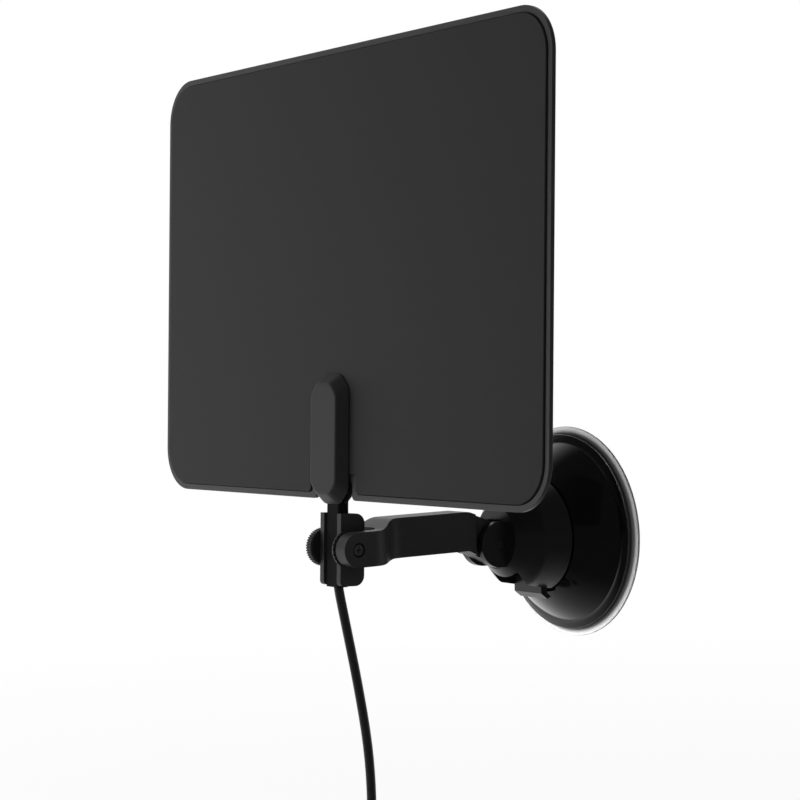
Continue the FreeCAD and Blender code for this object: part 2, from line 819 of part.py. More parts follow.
# Pivot screw: head in the cheek's recess, shank through the arm into the clip's boss
pivot_screw = new_body("pivot_screw")
head_seat = cheek_outside - s.recess_depth + s.turn_gap
head_radius = s.recess_radius - s.free_gap
head_height = s.recess_depth - s.free_gap
pad(pivot_screw, circles(pivot_screw, "YZ_Plane", [(0, 0, head_radius)], head_seat), head_height)
shank = circles(pivot_screw, "YZ_Plane", [(0, 0, s.pivot_screw_radius)], channel)
pad(pivot_screw, shank, head_seat - channel)
finish_on_antenna(pivot_screw)

# Clamp screw on the left of the clip, its tip against the stem
clamp_screw = thumb_screw("clamp_thumb_screw", -(clip_side + s.side_gap), -(half_stem + s.fit_gap))
finish_on_antenna(clamp_screw)

# Stem that the lead leaves, with an anchor held in the housing
tail = new_body("cable_tail")
half_anchor = s.stem_anchor_width / 2
stem_plan = rectangle(-half_stem, -s.stem_front, half_stem, stem_rear)
anchor_plan = rectangle(-half_anchor, -s.stem_front, half_anchor, stem_rear)
pad(tail, outline(tail, "XY_Plane", stem_plan, -s.stem_bottom), s.stem_bottom + s.stem_anchor_high)
round_edges(tail, s.stem_edge, lambda edge: lies_along(edge, "Z"))
anchor_height = s.stem_anchor_high - s.stem_anchor_low
pad(tail, outline(tail, "XY_Plane", anchor_plan, s.stem_anchor_low), anchor_height)
finish_on_antenna(tail)

# Panel: rear tray with a rim, foil element, and a raised front sheet.
# Its back lies in the antenna's XZ plane, and the depths count towards the front.
panel_half = s.panel_width / 2
panel_high = s.panel_low + s.panel_height
face_front = s.rim_depth + s.face_step


def panel_outline(inset):
    """The panel's outline with the notch for the housing, drawn in by inset."""
    side = panel_half - inset
    low = s.panel_low + inset
    high = panel_high - inset
    corner = s.panel_corner - inset
    notch = s.notch_width / 2 + inset
    notch_top = s.panel_low + s.notch_height + inset
    return rounded([
        (-side, low, corner),
        (-notch, low, s.notch_corner),
        (-notch, notch_top, s.notch_corner),
        (notch, notch_top, s.notch_corner),
        (notch, low, s.notch_corner),
        (side, low, corner),
        (side, high, corner),
        (-side, high, corner),
    ])


screw_places = [(0, s.boss_low), (0, s.boss_high)]
panel_holes = [(*place, s.small_screw_radius + s.free_gap) for place in screw_places]
rear_cover = new_body("panel_rear_cover")
pad(rear_cover, outline(rear_cover, "XZ_Plane", panel_outline(nothing)), s.rim_depth)
tray = outline(rear_cover, "XZ_Plane", panel_outline(s.rim_width), s.rim_depth)
pocket(rear_cover, tray, s.rim_depth - s.tray_floor)
pocket(rear_cover, circles(rear_cover, "XZ_Plane", panel_holes, s.rim_depth), s.rim_depth)
finish_on_antenna(rear_cover)

front_cover = new_body("panel_front_cover")
face_inset = s.rim_width + s.side_gap
face_thickness = face_front - s.tray_floor
pad(front_cover, outline(front_cover, "XZ_Plane", panel_outline(face_inset), s.tray_floor), face_thickness)
round_edges(front_cover, s.face_edge, lambda edge: lies_at_y(edge, -face_front.value))


def element_corners(spread):
    """A broad foil with a feed strip down to the housing, widened by spread."""
    side = s.element_width / 2 + spread
    feed = s.element_feed_width / 2 + spread
    low = s.element_low - spread
    high = s.element_low + s.element_height + spread
    feed_low = s.element_feed_low - spread
    return [
        (-feed, feed_low),
        (feed, feed_low),
        (feed, low),
        (side, low),
        (side, high),
        (-side, high),
        (-side, low),
        (-feed, low),
    ]


foil_front = s.tray_floor + s.element_thickness
foil_room = outline(front_cover, "XZ_Plane", element_corners(s.side_gap), foil_front)
pocket(front_cover, foil_room, s.element_thickness)
pocket(front_cover, circles(front_cover, "XZ_Plane", panel_holes, face_front), face_thickness)
finish_on_antenna(front_cover)

element = new_body("antenna_element")
pad(element, outline(element, "XZ_Plane", element_corners(nothing), s.tray_floor), s.element_thickness)
pocket(element, circles(element, "XZ_Plane", [panel_holes[1]], foil_front), s.element_thickness)
finish_on_antenna(element)


def housing_corners(side_inset, end_inset):
    """A long octagon, drawn in at its sides and ends."""
    side = s.housing_width / 2 - side_inset
    low = s.housing_low + end_inset
    high = s.housing_low + s.housing_height - end_inset
    flat = side - s.housing_cut
    return [
        (-flat, low),
        (flat, low),
        (side, low + s.housing_cut),
        (side, high - s.housing_cut),
        (flat, high),
        (-flat, high),
        (-side, high - s.housing_cut),
        (-side, low + s.housing_cut),
    ]


def housing_shell(label, seat, face):
    """A bevelled cover lofted from its seat to its smaller face, with softened edges."""
    shell = new_body(label)
    sections = [
        (seat, housing_corners(nothing, nothing)),
        (face, housing_corners(s.housing_side_bevel, s.housing_end_bevel)),
    ]
    rear_first = sorted(sections, key=lambda section: section[0].value)
    sketches = [outline(shell, "XZ_Plane", corners, place) for place, corners in rear_first]
    loft = shell.newObject("PartDesign::AdditiveLoft", label + "_loft")
    loft.Profile = sketches[0]
    loft.Sections = [sketches[1]]
    loft.Ruled = True
    doc.recompute()
    round_edges(shell, s.housing_edge, lambda edge: not lies_at_y(edge, -seat.value))
    return shell


# Front housing: hollow, with two screw bosses, over the board
housing_front = housing_shell("housing_front", face_front, face_front + s.housing_depth)
hollow_depth = s.housing_depth - s.housing_wall
hollow_side = s.housing_side_bevel + s.housing_wall
hollow_end = s.housing_end_bevel + s.housing_wall
hollow = new_sketch(housing_front, "XZ_Plane", face_front + hollow_depth)
draw_loop(hollow, housing_corners(hollow_side, hollow_end))
draw_circles(hollow, [(*place, s.boss_radius) for place in screw_places])
pocket(housing_front, hollow, hollow_depth)
thread_holes = [(*place, s.small_screw_radius) for place in screw_places]
pocket(housing_front, circles(housing_front, "XZ_Plane", thread_holes, face_front + hollow_depth), hollow_depth)
finish_on_antenna(housing_front)

board = new_body("amplifier_board")
half_board = s.board_width / 2
board_outline = rectangle(-half_board, s.board_low, half_board, s.board_low + s.board_height)
pad(board, outline(board, "XZ_Plane", board_outline, face_front), s.board_thickness)
finish_on_antenna(board)

# Rear housing: screw heads sunk in its back, and a channel for the stem with its anchor
housing_rear = housing_shell("housing_rear", nothing, -s.housing_depth)
stem_channel = rectangle(-half_stem, s.housing_low - s.side_gap, half_stem, s.stem_anchor_low)
anchor_room = rectangle(-half_anchor, s.stem_anchor_low, half_anchor, s.stem_anchor_high)
for stem_room in (stem_channel, anchor_room):
    pocket(housing_rear, outline(housing_rear, "XZ_Plane", stem_room), stem_rear)
head_bottom = s.housing_depth - s.small_head_depth
head_holes = [(*place, s.small_head_radius) for place in screw_places]
pocket(housing_rear, circles(housing_rear, "XZ_Plane", head_holes, -head_bottom), s.small_head_depth)
shank_room = [(*place, s.small_screw_radius + s.free_gap) for place in screw_places]
pocket(housing_rear, circles(housing_rear, "XZ_Plane", shank_room), head_bottom)
finish_on_antenna(housing_rear)

# Two small screws from the back into the front housing's bosses
shank_length = head_bottom + face_front + hollow_depth - s.side_gap
for label, place in zip(("housing_screw_lower", "housing_screw_upper"), screw_places):
    screw = new_body(label)
    pad(screw, circles(screw, "XZ_Plane", [(*place, s.small_screw_radius)], -head_bottom), shank_length)
    pad(screw, circles(screw, "XZ_Plane", [(*place, s.small_head_radius)], -s.housing_depth), s.small_head_depth)
    finish_on_antenna(screw)


def solid_feature(label, shape):
    """A piece made in code from the sheet's sizes."""
    feature = doc.addObject("Part::Feature", label)
    feature.Label = label
    feature.Shape = shape
    finish(feature)


def tube(points, radius):
    """A round lead along straight runs joined by tangent arcs."""
    edges = []
    here = points[0]
    for before, corner, after in zip(points, points[1:], points[2:]):
        inward = (corner - before).normalize()
        outward = (after - corner).normalize()
        half_turn = inward.getAngle(outward) / 2
        used = BEND_SHARE * min((corner - before).Length, (after - corner).Length)
        bend = used / math.tan(half_turn)
        print("bend radius %.1f" % bend)
        start = corner - inward * used
        end = corner + outward * used
        middle_way = (outward - inward).normalize()
        middle = corner + middle_way * (bend / math.cos(half_turn) - bend)
        edges.append(Part.LineSegment(here, start).toShape())
        edges.append(Part.Arc(start, middle, end).toShape())
        here = end
    edges.append(Part.LineSegment(here, points[-1]).toShape())
    length = sum(edge.Length for edge in edges)
    section = Part.Wire(Part.Circle(points[0], points[1] - points[0], radius).toShape())
    solid = Part.Wire(edges).makePipeShell([section], True, True)
    expected = math.pi * radius ** 2 * length
    print("tube volume %.1f, section times length %.1f" % (solid.Volume, expected))
    return solid


# Lead: from inside the stem down to the tied coil, and from the coil to the plug
cable_radius = s.cable_radius.value
stem_end = antenna_place.multVec(FreeCAD.Vector(0, s.cable_exit.value, -s.stem_bottom.value))
lead_start = antenna_place.multVec(
    FreeCAD.Vector(0, s.cable_exit.value, s.cable_hold.value - s.stem_bottom.value)
)
lead_points = [lead_start] + [stem_end + FreeCAD.Vector(0, *step) for step in LEAD_ROUTE]
solid_feature("cable_tube", tube(lead_points, cable_radius))

coil_radius = s.coil_radius.value
bundle_radius = s.coil_bundle_radius.value
WALLWARD = FreeCAD.Vector(0, 1, 0)
UPWARD = FreeCAD.Vector(0, 0, 1)
coil_centre = lead_points[-1] - FreeCAD.Vector(coil_radius, 0, s.coil_drop.value)
solid_feature("cable_coil", Part.makeTorus(coil_radius, bundle_radius, coil_centre, WALLWARD))

# Tie: a band pressed on the bundle at the coil's far side
tie_place = coil_centre - FreeCAD.Vector(coil_radius, 0, 0)
tie_inside = bundle_radius - s.tie_squeeze.value
tie_rings = [Part.Circle(tie_place, UPWARD, r) for r in (tie_inside + s.tie_wall.value, tie_inside)]
tie_discs = [Part.Face(Part.Wire(ring.toShape())) for ring in tie_rings]
tie_section = tie_discs[0].cut(tie_discs[1])
tie_section.rotate(coil_centre, WALLWARD, -s.tie_sweep.value / 2)
tie_band = tie_section.revolve(coil_centre, WALLWARD, s.tie_sweep.value)
solid_feature("coil_tie", tie_band.Solids[0])

end_points = [coil_centre + FreeCAD.Vector(*step) for step in END_ROUTE]
solid_feature("cable_end", tube(end_points, cable_radius))

# Coaxial plug: soft grip, outer barrel and centre pin, pointing down from the end of the lead
plug_rear = end_points[-1] + FreeCAD.Vector(0, 0, s.cable_hold.value)
plug_place = FreeCAD.Placement(plug_rear, FreeCAD.Rotation())
barrel_start = s.grip_length - s.barrel_root
barrel_end = s.grip_length + s.barrel_length
barrel_web = s.grip_length + s.barrel_web
grip = new_body("plug_grip")
revolve(grip, outline(grip, "XZ_Plane", [
    (0, 0),
    (s.grip_rear_radius, 0),
    (s.grip_radius, -s.grip_taper),
    (s.grip_radius, -s.grip_length),
    (s.barrel_bore_radius, -s.grip_length),
    (s.barrel_bore_radius, -barrel_start),
    (0, -barrel_start),
]))
grip.Placement = plug_place
finish(grip)

barrel = new_body("plug_barrel")
revolve(barrel, outline(barrel, "XZ_Plane", [
    (s.plug_pin_radius, -barrel_start),
    (s.barrel_bore_radius, -barrel_start),
    (s.barrel_bore_radius, -s.grip_length),
    (s.barrel_radius, -s.grip_length),
    (s.barrel_radius, -barrel_end),
    (s.barrel_bore_radius, -barrel_end),
    (s.barrel_bore_radius, -barrel_web),
    (s.plug_pin_radius, -barrel_web),
]))
barrel.Placement = plug_place
finish(barrel)

plug_pin = new_body("plug_pin")
pin_length = s.barrel_root + s.barrel_length
pin_round = circles(plug_pin, "XY_Plane", [(0, 0, s.plug_pin_radius)], -barrel_end)
pad(plug_pin, pin_round, pin_length)
plug_pin.Placement = plug_place
finish(plug_pin)

# Check every object, then write each piece to its own file
doc.recompute()
for item in doc.Objects:
    faults = [state for state in item.State if state in ("Invalid", "Error")]
    if faults:
        raise RuntimeError("%s is %s" % (item.Label, faults))
os.makedirs("parts", exist_ok=True)
for piece in finished:
    shape = piece.Shape
    if shape.isNull() or not shape.isValid() or not shape.Solids:
        raise RuntimeError("%s has no valid solid" % piece.Label)
    shape.exportStep("parts/%s.step" % piece.Label)
    print("%-20s %10.1f mm3 %d solid" % (piece.Label, shape.Volume, len(shape.Solids)))
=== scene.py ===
import math

import bmesh
import bpy
from mathutils import Matrix, Vector


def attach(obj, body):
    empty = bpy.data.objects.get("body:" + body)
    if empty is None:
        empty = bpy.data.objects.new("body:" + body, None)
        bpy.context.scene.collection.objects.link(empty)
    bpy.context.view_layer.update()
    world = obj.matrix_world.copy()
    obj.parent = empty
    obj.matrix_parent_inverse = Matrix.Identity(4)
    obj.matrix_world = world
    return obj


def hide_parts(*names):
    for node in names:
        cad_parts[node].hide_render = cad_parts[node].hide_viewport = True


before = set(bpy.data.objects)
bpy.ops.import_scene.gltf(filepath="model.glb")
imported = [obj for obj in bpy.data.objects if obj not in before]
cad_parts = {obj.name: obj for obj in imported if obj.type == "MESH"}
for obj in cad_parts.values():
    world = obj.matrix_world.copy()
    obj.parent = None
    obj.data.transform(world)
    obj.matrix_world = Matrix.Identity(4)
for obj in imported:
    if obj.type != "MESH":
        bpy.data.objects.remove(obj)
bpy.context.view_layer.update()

# TV antenna on a suction-cup arm. Sizes below are millimetres and are turned to metres by MM.
MM = 0.001
LEAN = math.radians(2.65)
FRONT_PIVOT = Vector((0.0, -100.7, 1.6)) * MM
REAR_PIVOT = Vector((0.0, -36.8, -1.8)) * MM
ANTENNA_PLACE = Matrix.Translation(FRONT_PIVOT) @ Matrix.Rotation(-LEAN, 4, "X")

scene = bpy.context.scene
scene.view_settings.view_transform = "Standard"


# Camera, from the photograph's own perspective
CAMERA_PLACE = Vector((606.42, -505.17, 68.12)) * MM
CAMERA_AZIMUTH = math.radians(54.545)
CAMERA_RISE = math.radians(-1.417)
CAMERA_ROLL = math.radians(-1.695)

camera_data = bpy.data.cameras.new("camera")
camera_data.sensor_fit = "HORIZONTAL"
camera_data.sensor_width = 36.0
camera_data.lens = 99.0
camera = bpy.data.objects.new("camera", camera_data)
scene.collection.objects.link(camera)
camera_turn = (
    Matrix.Rotation(CAMERA_AZIMUTH, 4, "Z")
    @ Matrix.Rotation(math.radians(90.0) + CAMERA_RISE, 4, "X")
    @ Matrix.Rotation(CAMERA_ROLL, 4, "Z")
)
camera.matrix_world = Matrix.Translation(CAMERA_PLACE) @ camera_turn
scene.camera = camera


# Shader groups that several finishes share

def new_group(name, kind, inputs, outputs):
    group = bpy.data.node_groups.new(name, kind)
    for label, socket_kind, value in inputs:
        socket = group.interface.new_socket(label, in_out="INPUT", socket_type=socket_kind)
        if value is not None:
            socket.default_value = value
    for label, socket_kind in outputs:
        group.interface.new_socket(label, in_out="OUTPUT", socket_type=socket_kind)
    return group, group.nodes.new("NodeGroupInput"), group.nodes.new("NodeGroupOutput")


def math_node(tree, operation, first, second):
    node = tree.nodes.new("ShaderNodeMath")
    node.operation = operation
    for socket, value in zip(node.inputs, (first, second)):
        if isinstance(value, (int, float)):
            socket.default_value = value
        else:
            tree.links.new(value, socket)
    return node.outputs[0]


def noise_node(tree, vector, scale, detail, roughness=0.5):
    node = tree.nodes.new("ShaderNodeTexNoise")
    tree.links.new(vector, node.inputs["Vector"])
    if isinstance(scale, (int, float)):
        node.inputs["Scale"].default_value = scale
    else:
        tree.links.new(scale, node.inputs["Scale"])
    node.inputs["Detail"].default_value = detail
    node.inputs["Roughness"].default_value = roughness
    return node.outputs[0]


def vector_node(tree, operation, first, second=None):
    """What a vector sum gives: a value for a length or a dot product, and otherwise a vector."""
    node = tree.nodes.new("ShaderNodeVectorMath")
    node.operation = operation
    tree.links.new(first, node.inputs[0])
    if second is not None:
        node.inputs[1].default_value = second
    return node.outputs["Value" if operation in ("LENGTH", "DOT_PRODUCT") else "Vector"]


def fade_node(tree, value, start, end, low=0.0, high=1.0, curve="SMOOTHSTEP"):
    """Goes from low to high as the value goes from start to end."""
    node = tree.nodes.new("ShaderNodeMapRange")
    node.interpolation_type = curve
    tree.links.new(value, node.inputs["Value"])
    for label, number in (("From Min", start), ("From Max", end), ("To Min", low), ("To Max", high)):
        node.inputs[label].default_value = number
    return node.outputs[0]


def colour_mix(tree, share, first, second):
    """A colour between two, of which each is a socket or a plain colour."""
    node = tree.nodes.new("ShaderNodeMix")
    node.data_type = "RGBA"
    tree.links.new(share, node.inputs[0])
    sockets = [socket for socket in node.inputs if socket.type == "RGBA"]
    for socket, colour in zip(sockets, (first, second)):
        if isinstance(colour, tuple):
            socket.default_value = colour
        else:
            tree.links.new(colour, socket)
    return [socket for socket in node.outputs if socket.type == "RGBA"][0]


GRAIN_SHARE = 0.4
NOISE_MIDDLE = 0.5
EDGE_POINTINESS = (0.51, 0.60)
EDGE_LIFT = 0.03
EDGE_GAIN = 2.2
PATCH_LEAST = 0.2
COAT_ROUGHNESS = 0.03


def make_moulded_grain():
    """Fine mould texture and slow clouds of tone. Sizes are millimetres."""
    tree, given, result = new_group(
        "moulded_grain",
        "ShaderNodeTree",
        [
            ("Color", "NodeSocketColor", (0.05, 0.05, 0.05, 1.0)),
            ("Grain Size", "NodeSocketFloat", 0.5),
            ("Cloud Size", "NodeSocketFloat", 30.0),
            ("Variation", "NodeSocketFloat", 0.1),
            ("Roughness", "NodeSocketFloat", 0.5),
            ("Roughness Spread", "NodeSocketFloat", 0.1),
        ],
        [
            ("Color", "NodeSocketColor"),
            ("Roughness", "NodeSocketFloat"),
            ("Height", "NodeSocketFloat"),
        ],
    )
    place = tree.nodes.new("ShaderNodeTexCoord").outputs["Object"]
    grain_scale = math_node(tree, "DIVIDE", 1.0 / MM, given.outputs["Grain Size"])
    cloud_scale = math_node(tree, "DIVIDE", 1.0 / MM, given.outputs["Cloud Size"])
    grain = noise_node(tree, place, grain_scale, detail=3.0, roughness=0.6)
    cloud = noise_node(tree, place, cloud_scale, detail=2.0)
    fine_part = math_node(tree, "MULTIPLY", grain, GRAIN_SHARE)
    slow_part = math_node(tree, "MULTIPLY", cloud, 1.0 - GRAIN_SHARE)
    mixed = math_node(tree, "ADD", fine_part, slow_part)
    shift = math_node(tree, "SUBTRACT", mixed, NOISE_MIDDLE)
    swing = math_node(tree, "MULTIPLY", shift, given.outputs["Variation"])
    level = math_node(tree, "ADD", math_node(tree, "MULTIPLY", swing, 2.0), 1.0)
    tinted = tree.nodes.new("ShaderNodeVectorMath")
    tinted.operation = "SCALE"
    tree.links.new(given.outputs["Color"], tinted.inputs[0])
    tree.links.new(level, tinted.inputs["Scale"])
    tree.links.new(tinted.outputs[0], result.inputs["Color"])
    rough_swing = math_node(tree, "MULTIPLY", shift, given.outputs["Roughness Spread"])
    tree.links.new(
        math_node(tree, "ADD", given.outputs["Roughness"], rough_swing), result.inputs["Roughness"]
    )
    tree.links.new(grain, result.inputs["Height"])
    return tree


def make_lighter_edges():
    """Lighter tone along outer edges, broken up by noise."""
    tree, given, result = new_group(
        "lighter_edges",
        "ShaderNodeTree",
        [
            ("Color", "NodeSocketColor", (0.05, 0.05, 0.05, 1.0)),
            ("Edge Color", "NodeSocketColor", (0.2, 0.2, 0.2, 1.0)),
            ("Amount", "NodeSocketFloat", 0.3),
            ("Patch Size", "NodeSocketFloat", 3.0),
        ],
        [("Color", "NodeSocketColor")],
    )
    place = tree.nodes.new("ShaderNodeTexCoord").outputs["Object"]
    pointed = tree.nodes.new("ShaderNodeNewGeometry").outputs["Pointiness"]
    bent = fade_node(tree, pointed, *EDGE_POINTINESS, curve="LINEAR")
    patch_scale = math_node(tree, "DIVIDE", 1.0 / MM, given.outputs["Patch Size"])
    patch = math_node(tree, "ADD", noise_node(tree, place, patch_scale, detail=3.0), PATCH_LEAST)
    edge_part = math_node(tree, "MULTIPLY", bent, patch)
    mask = math_node(tree, "MULTIPLY", edge_part, given.outputs["Amount"])
    edged = colour_mix(tree, mask, given.outputs["Color"], given.outputs["Edge Color"])
    tree.links.new(edged, result.inputs["Color"])
    return tree


MOULDED_GRAIN = make_moulded_grain()
LIGHTER_EDGES = make_lighter_edges()


def finish_of(
    name, colour, roughness, grain, bump, variation, specular, edge,
    metallic=0.0, coat=0.0, transmission=0.0, cloud=30.0, spread=0.12,
):
    """A finish made of the moulded grain, the lighter edges and a bump of the grain's own depth in mm."""
    material = bpy.data.materials.new(name)
    material.use_nodes = True
    tree = material.node_tree
    shader = tree.nodes["Principled BSDF"]
    surface = tree.nodes.new("ShaderNodeGroup")
    surface.node_tree = MOULDED_GRAIN
    surface.inputs["Color"].default_value = (*colour, 1.0)
    surface.inputs["Grain Size"].default_value = grain
    surface.inputs["Cloud Size"].default_value = cloud
    surface.inputs["Variation"].default_value = variation
    surface.inputs["Roughness"].default_value = roughness
    surface.inputs["Roughness Spread"].default_value = spread
    edge_tone = tree.nodes.new("ShaderNodeGroup")
    edge_tone.node_tree = LIGHTER_EDGES
    lighter = tuple(min(1.0, EDGE_LIFT + EDGE_GAIN * part) for part in colour)
    edge_tone.inputs["Edge Color"].default_value = (*lighter, 1.0)
    edge_tone.inputs["Amount"].default_value = edge
    tree.links.new(surface.outputs["Color"], edge_tone.inputs["Color"])
    tree.links.new(edge_tone.outputs["Color"], shader.inputs["Base Color"])
    tree.links.new(surface.outputs["Roughness"], shader.inputs["Roughness"])
    relief = tree.nodes.new("ShaderNodeBump")
    relief.inputs["Strength"].default_value = 1.0
    relief.inputs["Distance"].default_value = bump * MM
    tree.links.new(surface.outputs["Height"], relief.inputs["Height"])
    tree.links.new(relief.outputs["Normal"], shader.inputs["Normal"])
    shader.inputs["Specular IOR Level"].default_value = specular
    shader.inputs["Metallic"].default_value = metallic
    shader.inputs["Coat Weight"].default_value = coat
    shader.inputs["Coat Roughness"].default_value = COAT_ROUGHNESS
    shader.inputs["Transmission Weight"].default_value = transmission
    return material


FINISH = {
    "panel_face": finish_of(
        "matte_panel_face", (0.0238, 0.0236, 0.0234),
        roughness=0.55, grain=0.55, bump=0.05, variation=0.16,
        specular=0.26, edge=0.0, cloud=60.0,
    ),
    "panel_rim": finish_of(
        "satin_panel_rim", (0.038, 0.038, 0.039),
        roughness=0.38, grain=0.8, bump=0.012, variation=0.10,
        specular=0.5, edge=0.0,
    ),
    "housing": finish_of(
        "satin_housing", (0.028, 0.028, 0.0283),
        roughness=0.44, grain=0.6, bump=0.014, variation=0.08,
        specular=0.32, edge=0.15,
    ),
    "stem": finish_of(
        "satin_stem", (0.008, 0.008, 0.0083),
        roughness=0.50, grain=0.7, bump=0.012, variation=0.08,
        specular=0.04, edge=0.04,
    ),
    "arm": finish_of(
        "satin_arm", (0.029, 0.029, 0.030),
        roughness=0.42, grain=0.7, bump=0.012, variation=0.10,
        specular=0.4, edge=0.10,
    ),
    "collar": finish_of(
        "satin_collar", (0.011, 0.011, 0.0115),
        roughness=0.30, grain=0.8, bump=0.006, variation=0.10,
        specular=0.5, edge=0.10,
    ),
    "knob": finish_of(
        "knurled_knob", (0.014, 0.014, 0.0145),
        roughness=0.42, grain=0.6, bump=0.010, variation=0.10,
        specular=0.4, edge=0.3,
    ),
    "bell": finish_of(
        "polished_bell", (0.003, 0.003, 0.003),
        roughness=0.14, grain=1.5, bump=0.0012, variation=0.10,
        specular=0.45, edge=0.1, coat=0.3, spread=0.05,
    ),
    "pad": finish_of(
        "soft_clear_pad", (0.86, 0.86, 0.87),
        roughness=0.30, grain=1.2, bump=0.010, variation=0.06,
        specular=0.4, edge=0.0, transmission=0.8,
    ),
    "lead": finish_of(
        "rubber_lead", (0.020, 0.020, 0.021),
        roughness=0.42, grain=0.9, bump=0.012, variation=0.12,
        specular=0.45, edge=0.0,
    ),
    "tie": finish_of(
        "wire_tie", (0.020, 0.020, 0.021),
        roughness=0.45, grain=0.8, bump=0.010, variation=0.10,
        specular=0.4, edge=0.2,
    ),
    "screw": finish_of(
        "blackened_screw", (0.045, 0.045, 0.046),
        roughness=0.40, grain=0.5, bump=0.006, variation=0.10,
        specular=0.5, edge=0.3,
    ),
    "plug_metal": finish_of(
        "plated_plug", (0.62, 0.60, 0.56),
        roughness=0.24, grain=0.7, bump=0.005, variation=0.08,
        specular=0.5, edge=0.2, metallic=1.0,
    ),
    "foil": finish_of(
        "rolled_foil", (0.70, 0.70, 0.68),
        roughness=0.30, grain=0.9, bump=0.010, variation=0.08,
        specular=0.5, edge=0.0, metallic=1.0,
    ),
    "board": finish_of(
        "green_board", (0.020, 0.110, 0.045),
        roughness=0.45, grain=0.5, bump=0.010, variation=0.15,
        specular=0.5, edge=0.2,
    ),
}


def shade_under_bell(material, shade_colour, start, end):
    """Paints shade on a turned piece: dark inside one radius, where it lies under the bell, paling
    towards another, in mm.
    """
    tree = material.node_tree
    shader = tree.nodes["Principled BSDF"]
    place = tree.nodes.new("ShaderNodeTexCoord").outputs["Object"]
    radius = vector_node(tree, "LENGTH", vector_node(tree, "MULTIPLY", place, (1.0, 0.0, 1.0)))
    outward = fade_node(tree, radius, start * MM, end * MM, curve="LINEAR")
    plain = shader.inputs["Base Color"].links[0].from_socket
    tree.links.new(colour_mix(tree, outward, (*shade_colour, 1.0), plain), shader.inputs["Base Color"])


# Painted shade: the clear pad is darkened under and beside the bell's flange.
shade_under_bell(FINISH["pad"], shade_colour=(0.012, 0.012, 0.0125), start=34.9, end=36.6)


# Ways to make and place a piece. Meshes are cleaned by distances in mm and shaded by angles in degrees
SAME_POINT = 0.002
FLAT_ANGLE = 0.4
DRAWN_TOGETHER = 0.05
RESHAPED_SLIVER = 0.02
ROUNDED_SLIVER = 0.004
SHARP_ANGLE = 32.0
SMOOTH_ANGLE = 38.0
BENDS_LITTLE = math.cos(math.radians(60.0))
ROUNDING_STEPS = 3


def dress(obj, finish):
    obj.data.materials.clear()
    obj.data.materials.append(FINISH[finish])


def settle(obj):
    """Turns what the modifiers give into a plain mesh and takes them away."""
    depsgraph = bpy.context.evaluated_depsgraph_get()
    mesh = bpy.data.meshes.new_from_object(obj.evaluated_get(depsgraph), depsgraph=depsgraph)
    obj.modifiers.clear()
    obj.data = mesh
    obj.data.name = obj.name


def new_piece(name, mesh):
    mesh.name = name
    obj = bpy.data.objects.new(name, mesh)
    scene.collection.objects.link(obj)
    return obj


def declare(obj, body, slot, *nodes, finish=None):
    dress(obj, finish or slot)
    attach(obj, body)
    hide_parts(*nodes)
    return obj


def smooth_by_angle(mesh, angle):
    for face in mesh.polygons:
        face.use_smooth = True
    mesh.set_sharp_from_angle(angle=math.radians(angle))


def keep_flats(mesh):
    """Keeps flats flat: each corner's normal comes from the faces that bend little there, by area."""
    normals = [face.normal.copy() for face in mesh.polygons]
    areas = [face.area for face in mesh.polygons]
    around = [[] for _ in mesh.vertices]
    for face in mesh.polygons:
        for vertex in face.vertices:
            around[vertex].append(face.index)
    corners = [Vector((0.0, 0.0, 1.0))] * len(mesh.loops)
    for face in mesh.polygons:
        for corner, vertex in zip(face.loop_indices, face.vertices):
            total = Vector((0.0, 0.0, 0.0))
            for other in around[vertex]:
                if normals[other].dot(normals[face.index]) > BENDS_LITTLE:
                    total += normals[other] * areas[other]
            corners[corner] = total.normalized() if total.length > 0.0 else normals[face.index]
    mesh.normals_split_custom_set(corners)


def rounded_off(obj, width, angle=SHARP_ANGLE, by_weight=False):
    """Rounds the sharp edges of a piece, or only the weighted ones, and keeps its flats flat."""
    smooth_by_angle(obj.data, 180.0)
    rounding = obj.modifiers.new("rounding", "BEVEL")
    rounding.limit_method = "WEIGHT" if by_weight else "ANGLE"
    rounding.angle_limit = math.radians(angle)
    rounding.width = width * MM
    rounding.segments = ROUNDING_STEPS
    rounding.use_clamp_overlap = True
    rounding.miter_outer = "MITER_ARC"
    settle(obj)
    shape = bmesh.new()
    shape.from_mesh(obj.data)
    bmesh.ops.dissolve_degenerate(shape, edges=shape.edges, dist=ROUNDED_SLIVER * MM)
    shape.to_mesh(obj.data)
    shape.free()
    keep_flats(obj.data)
    return obj


def softened(node, body, slot, width, finish=None, reshape=None, shortest=0.0):
    """A copy of a CAD node that stands for it, its edges rounded, or only those over a length in mm."""
    shape = bmesh.new()
    shape.from_mesh(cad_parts[node].data)
    bmesh.ops.remove_doubles(shape, verts=shape.verts, dist=SAME_POINT * MM)
    bmesh.ops.dissolve_limit(
        shape, angle_limit=math.radians(FLAT_ANGLE), verts=shape.verts, edges=shape.edges
    )
    if reshape:
        for vertex in shape.verts:
            reshape(vertex)
        bmesh.ops.remove_doubles(shape, verts=shape.verts, dist=DRAWN_TOGETHER * MM)
        bmesh.ops.dissolve_degenerate(shape, edges=shape.edges, dist=RESHAPED_SLIVER * MM)
    if shortest:
        weight = shape.edges.layers.float.new("bevel_weight_edge")
        for edge in shape.edges:
            bent = edge.calc_face_angle(0.0) > math.radians(SHARP_ANGLE)
            edge[weight] = float(bent and edge.calc_length() > shortest * MM)
    mesh = bpy.data.meshes.new(node + "_moulded")
    shape.to_mesh(mesh)
    shape.free()
    obj = rounded_off(new_piece(node + "_moulded", mesh), width, by_weight=bool(shortest))
    return declare(obj, body, slot, node, finish=finish)


CORNER_STEPS = 8


